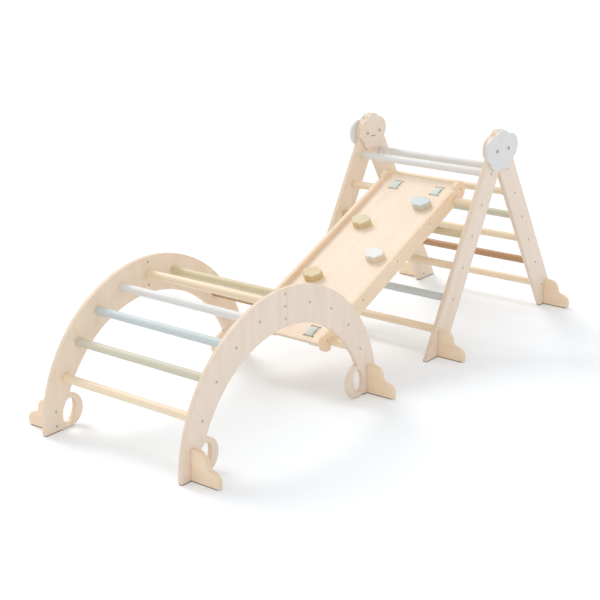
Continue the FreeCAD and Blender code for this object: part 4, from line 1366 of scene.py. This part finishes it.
def show(tree, output_name, begin, seen):
    """Makes seen what direct rays meet in a node tree, and begin what all others meet."""
    shown = begin.make("ShaderNodeMixShader", inputs={0: seen_directly(begin), 1: begin, 2: seen})
    tree.links.new(shown.socket, tree.nodes[output_name].inputs["Surface"])


def studio_floor():
    """One large square that keeps the shadows."""
    corners = FLOOR_HALF * np.array(((-1, -1, 0), (1, -1, 0), (1, 1, 0), (-1, 1, 0)), float)
    mesh = bpy.data.meshes.new("studio_floor")
    mesh.from_pydata(corners.tolist(), [], [(0, 1, 2, 3)])
    floor = bpy.data.objects.new("studio_floor", mesh)
    scene.collection.objects.link(floor)
    material, shader, begin = new_finish("studio_white")
    feed(shader, {
        "Base Color": opaque(FLOOR_COLOUR),
        "Roughness": FLOOR_ROUGHNESS,
        "Specular IOR Level": 0.0,
    })
    glow = begin.make("ShaderNodeEmission", inputs={"Color": opaque(WHITE), "Strength": FLOOR_LIFT})
    lifted = begin.make("ShaderNodeAddShader", inputs={0: begin, 1: glow})
    show(material.node_tree, "Material Output", begin, lifted)
    mesh.materials.append(material)


def studio_sky():
    """An even white sky that lights the set at its own level."""
    world = bpy.data.worlds.new("studio_sky")
    world.use_nodes = True
    scene.world = world
    lighting = world.node_tree.nodes["Background"]
    feed(lighting, {"Color": opaque(WHITE), "Strength": SKY_LEVEL})
    begin = Wire(world.node_tree, lighting.outputs[0])
    white = begin.make("ShaderNodeBackground", inputs={"Color": opaque(WHITE), "Strength": 1.0})
    show(world.node_tree, "World Output", begin, white)


def soft_sun():
    """The large soft light from behind."""
    lamp = bpy.data.lights.new("window_light", "SUN")
    lamp.energy = SUN_LEVEL
    lamp.angle = SUN_SPREAD
    sun = bpy.data.objects.new("window_light", lamp)
    sun.rotation_mode = "QUATERNION"
    sun.rotation_quaternion = SUN_FROM.to_track_quat("Z", "Y")
    scene.collection.objects.link(sun)


studio_floor()
studio_sky()
soft_sun()
scene.view_settings.view_transform = "Standard"
print("studio with a sky of", SKY_LEVEL, "and a sun of", SUN_LEVEL)

# %% [markdown]
# ## Camera
# The view is from the front right, a little above the set, with a long lens. Its place and angles
# were found by matching corners of the set, so the frame shows the set as it was seen.

# %% Place the camera
CAMERA_PLACE = (-3.985, -3.0544, 1.8632)
CAMERA_AZIMUTH = math.radians(-51.224)
CAMERA_ELEVATION = math.radians(17.96)
CAMERA_ROLL = math.radians(-0.665)
SENSOR_WIDTH = 36.0
IMAGE_WIDTH = 600
FOCAL_PIXELS = 1404.08


def photo_camera():
    """Axes from azimuth and elevation, turned by the roll; the lens from its length in pixels."""
    back = Vector((
        math.sin(CAMERA_AZIMUTH) * math.cos(CAMERA_ELEVATION),
        -math.cos(CAMERA_AZIMUTH) * math.cos(CAMERA_ELEVATION),
        math.sin(CAMERA_ELEVATION),
    ))
    right = Vector((0, 0, 1)).cross(back).normalized()
    up = back.cross(right)
    cosine, sine = math.cos(CAMERA_ROLL), math.sin(CAMERA_ROLL)
    axes = (cosine * right + sine * up, cosine * up - sine * right, back)
    data = bpy.data.cameras.new("photo_camera")
    data.sensor_width = SENSOR_WIDTH
    data.lens = SENSOR_WIDTH * FOCAL_PIXELS / IMAGE_WIDTH
    camera = bpy.data.objects.new("photo_camera", data)
    camera.matrix_world = Matrix.Translation(CAMERA_PLACE) @ Matrix(axes).transposed().to_4x4()
    scene.collection.objects.link(camera)
    scene.camera = camera


photo_camera()
print("camera", round(scene.camera.data.lens, 2), "mm")
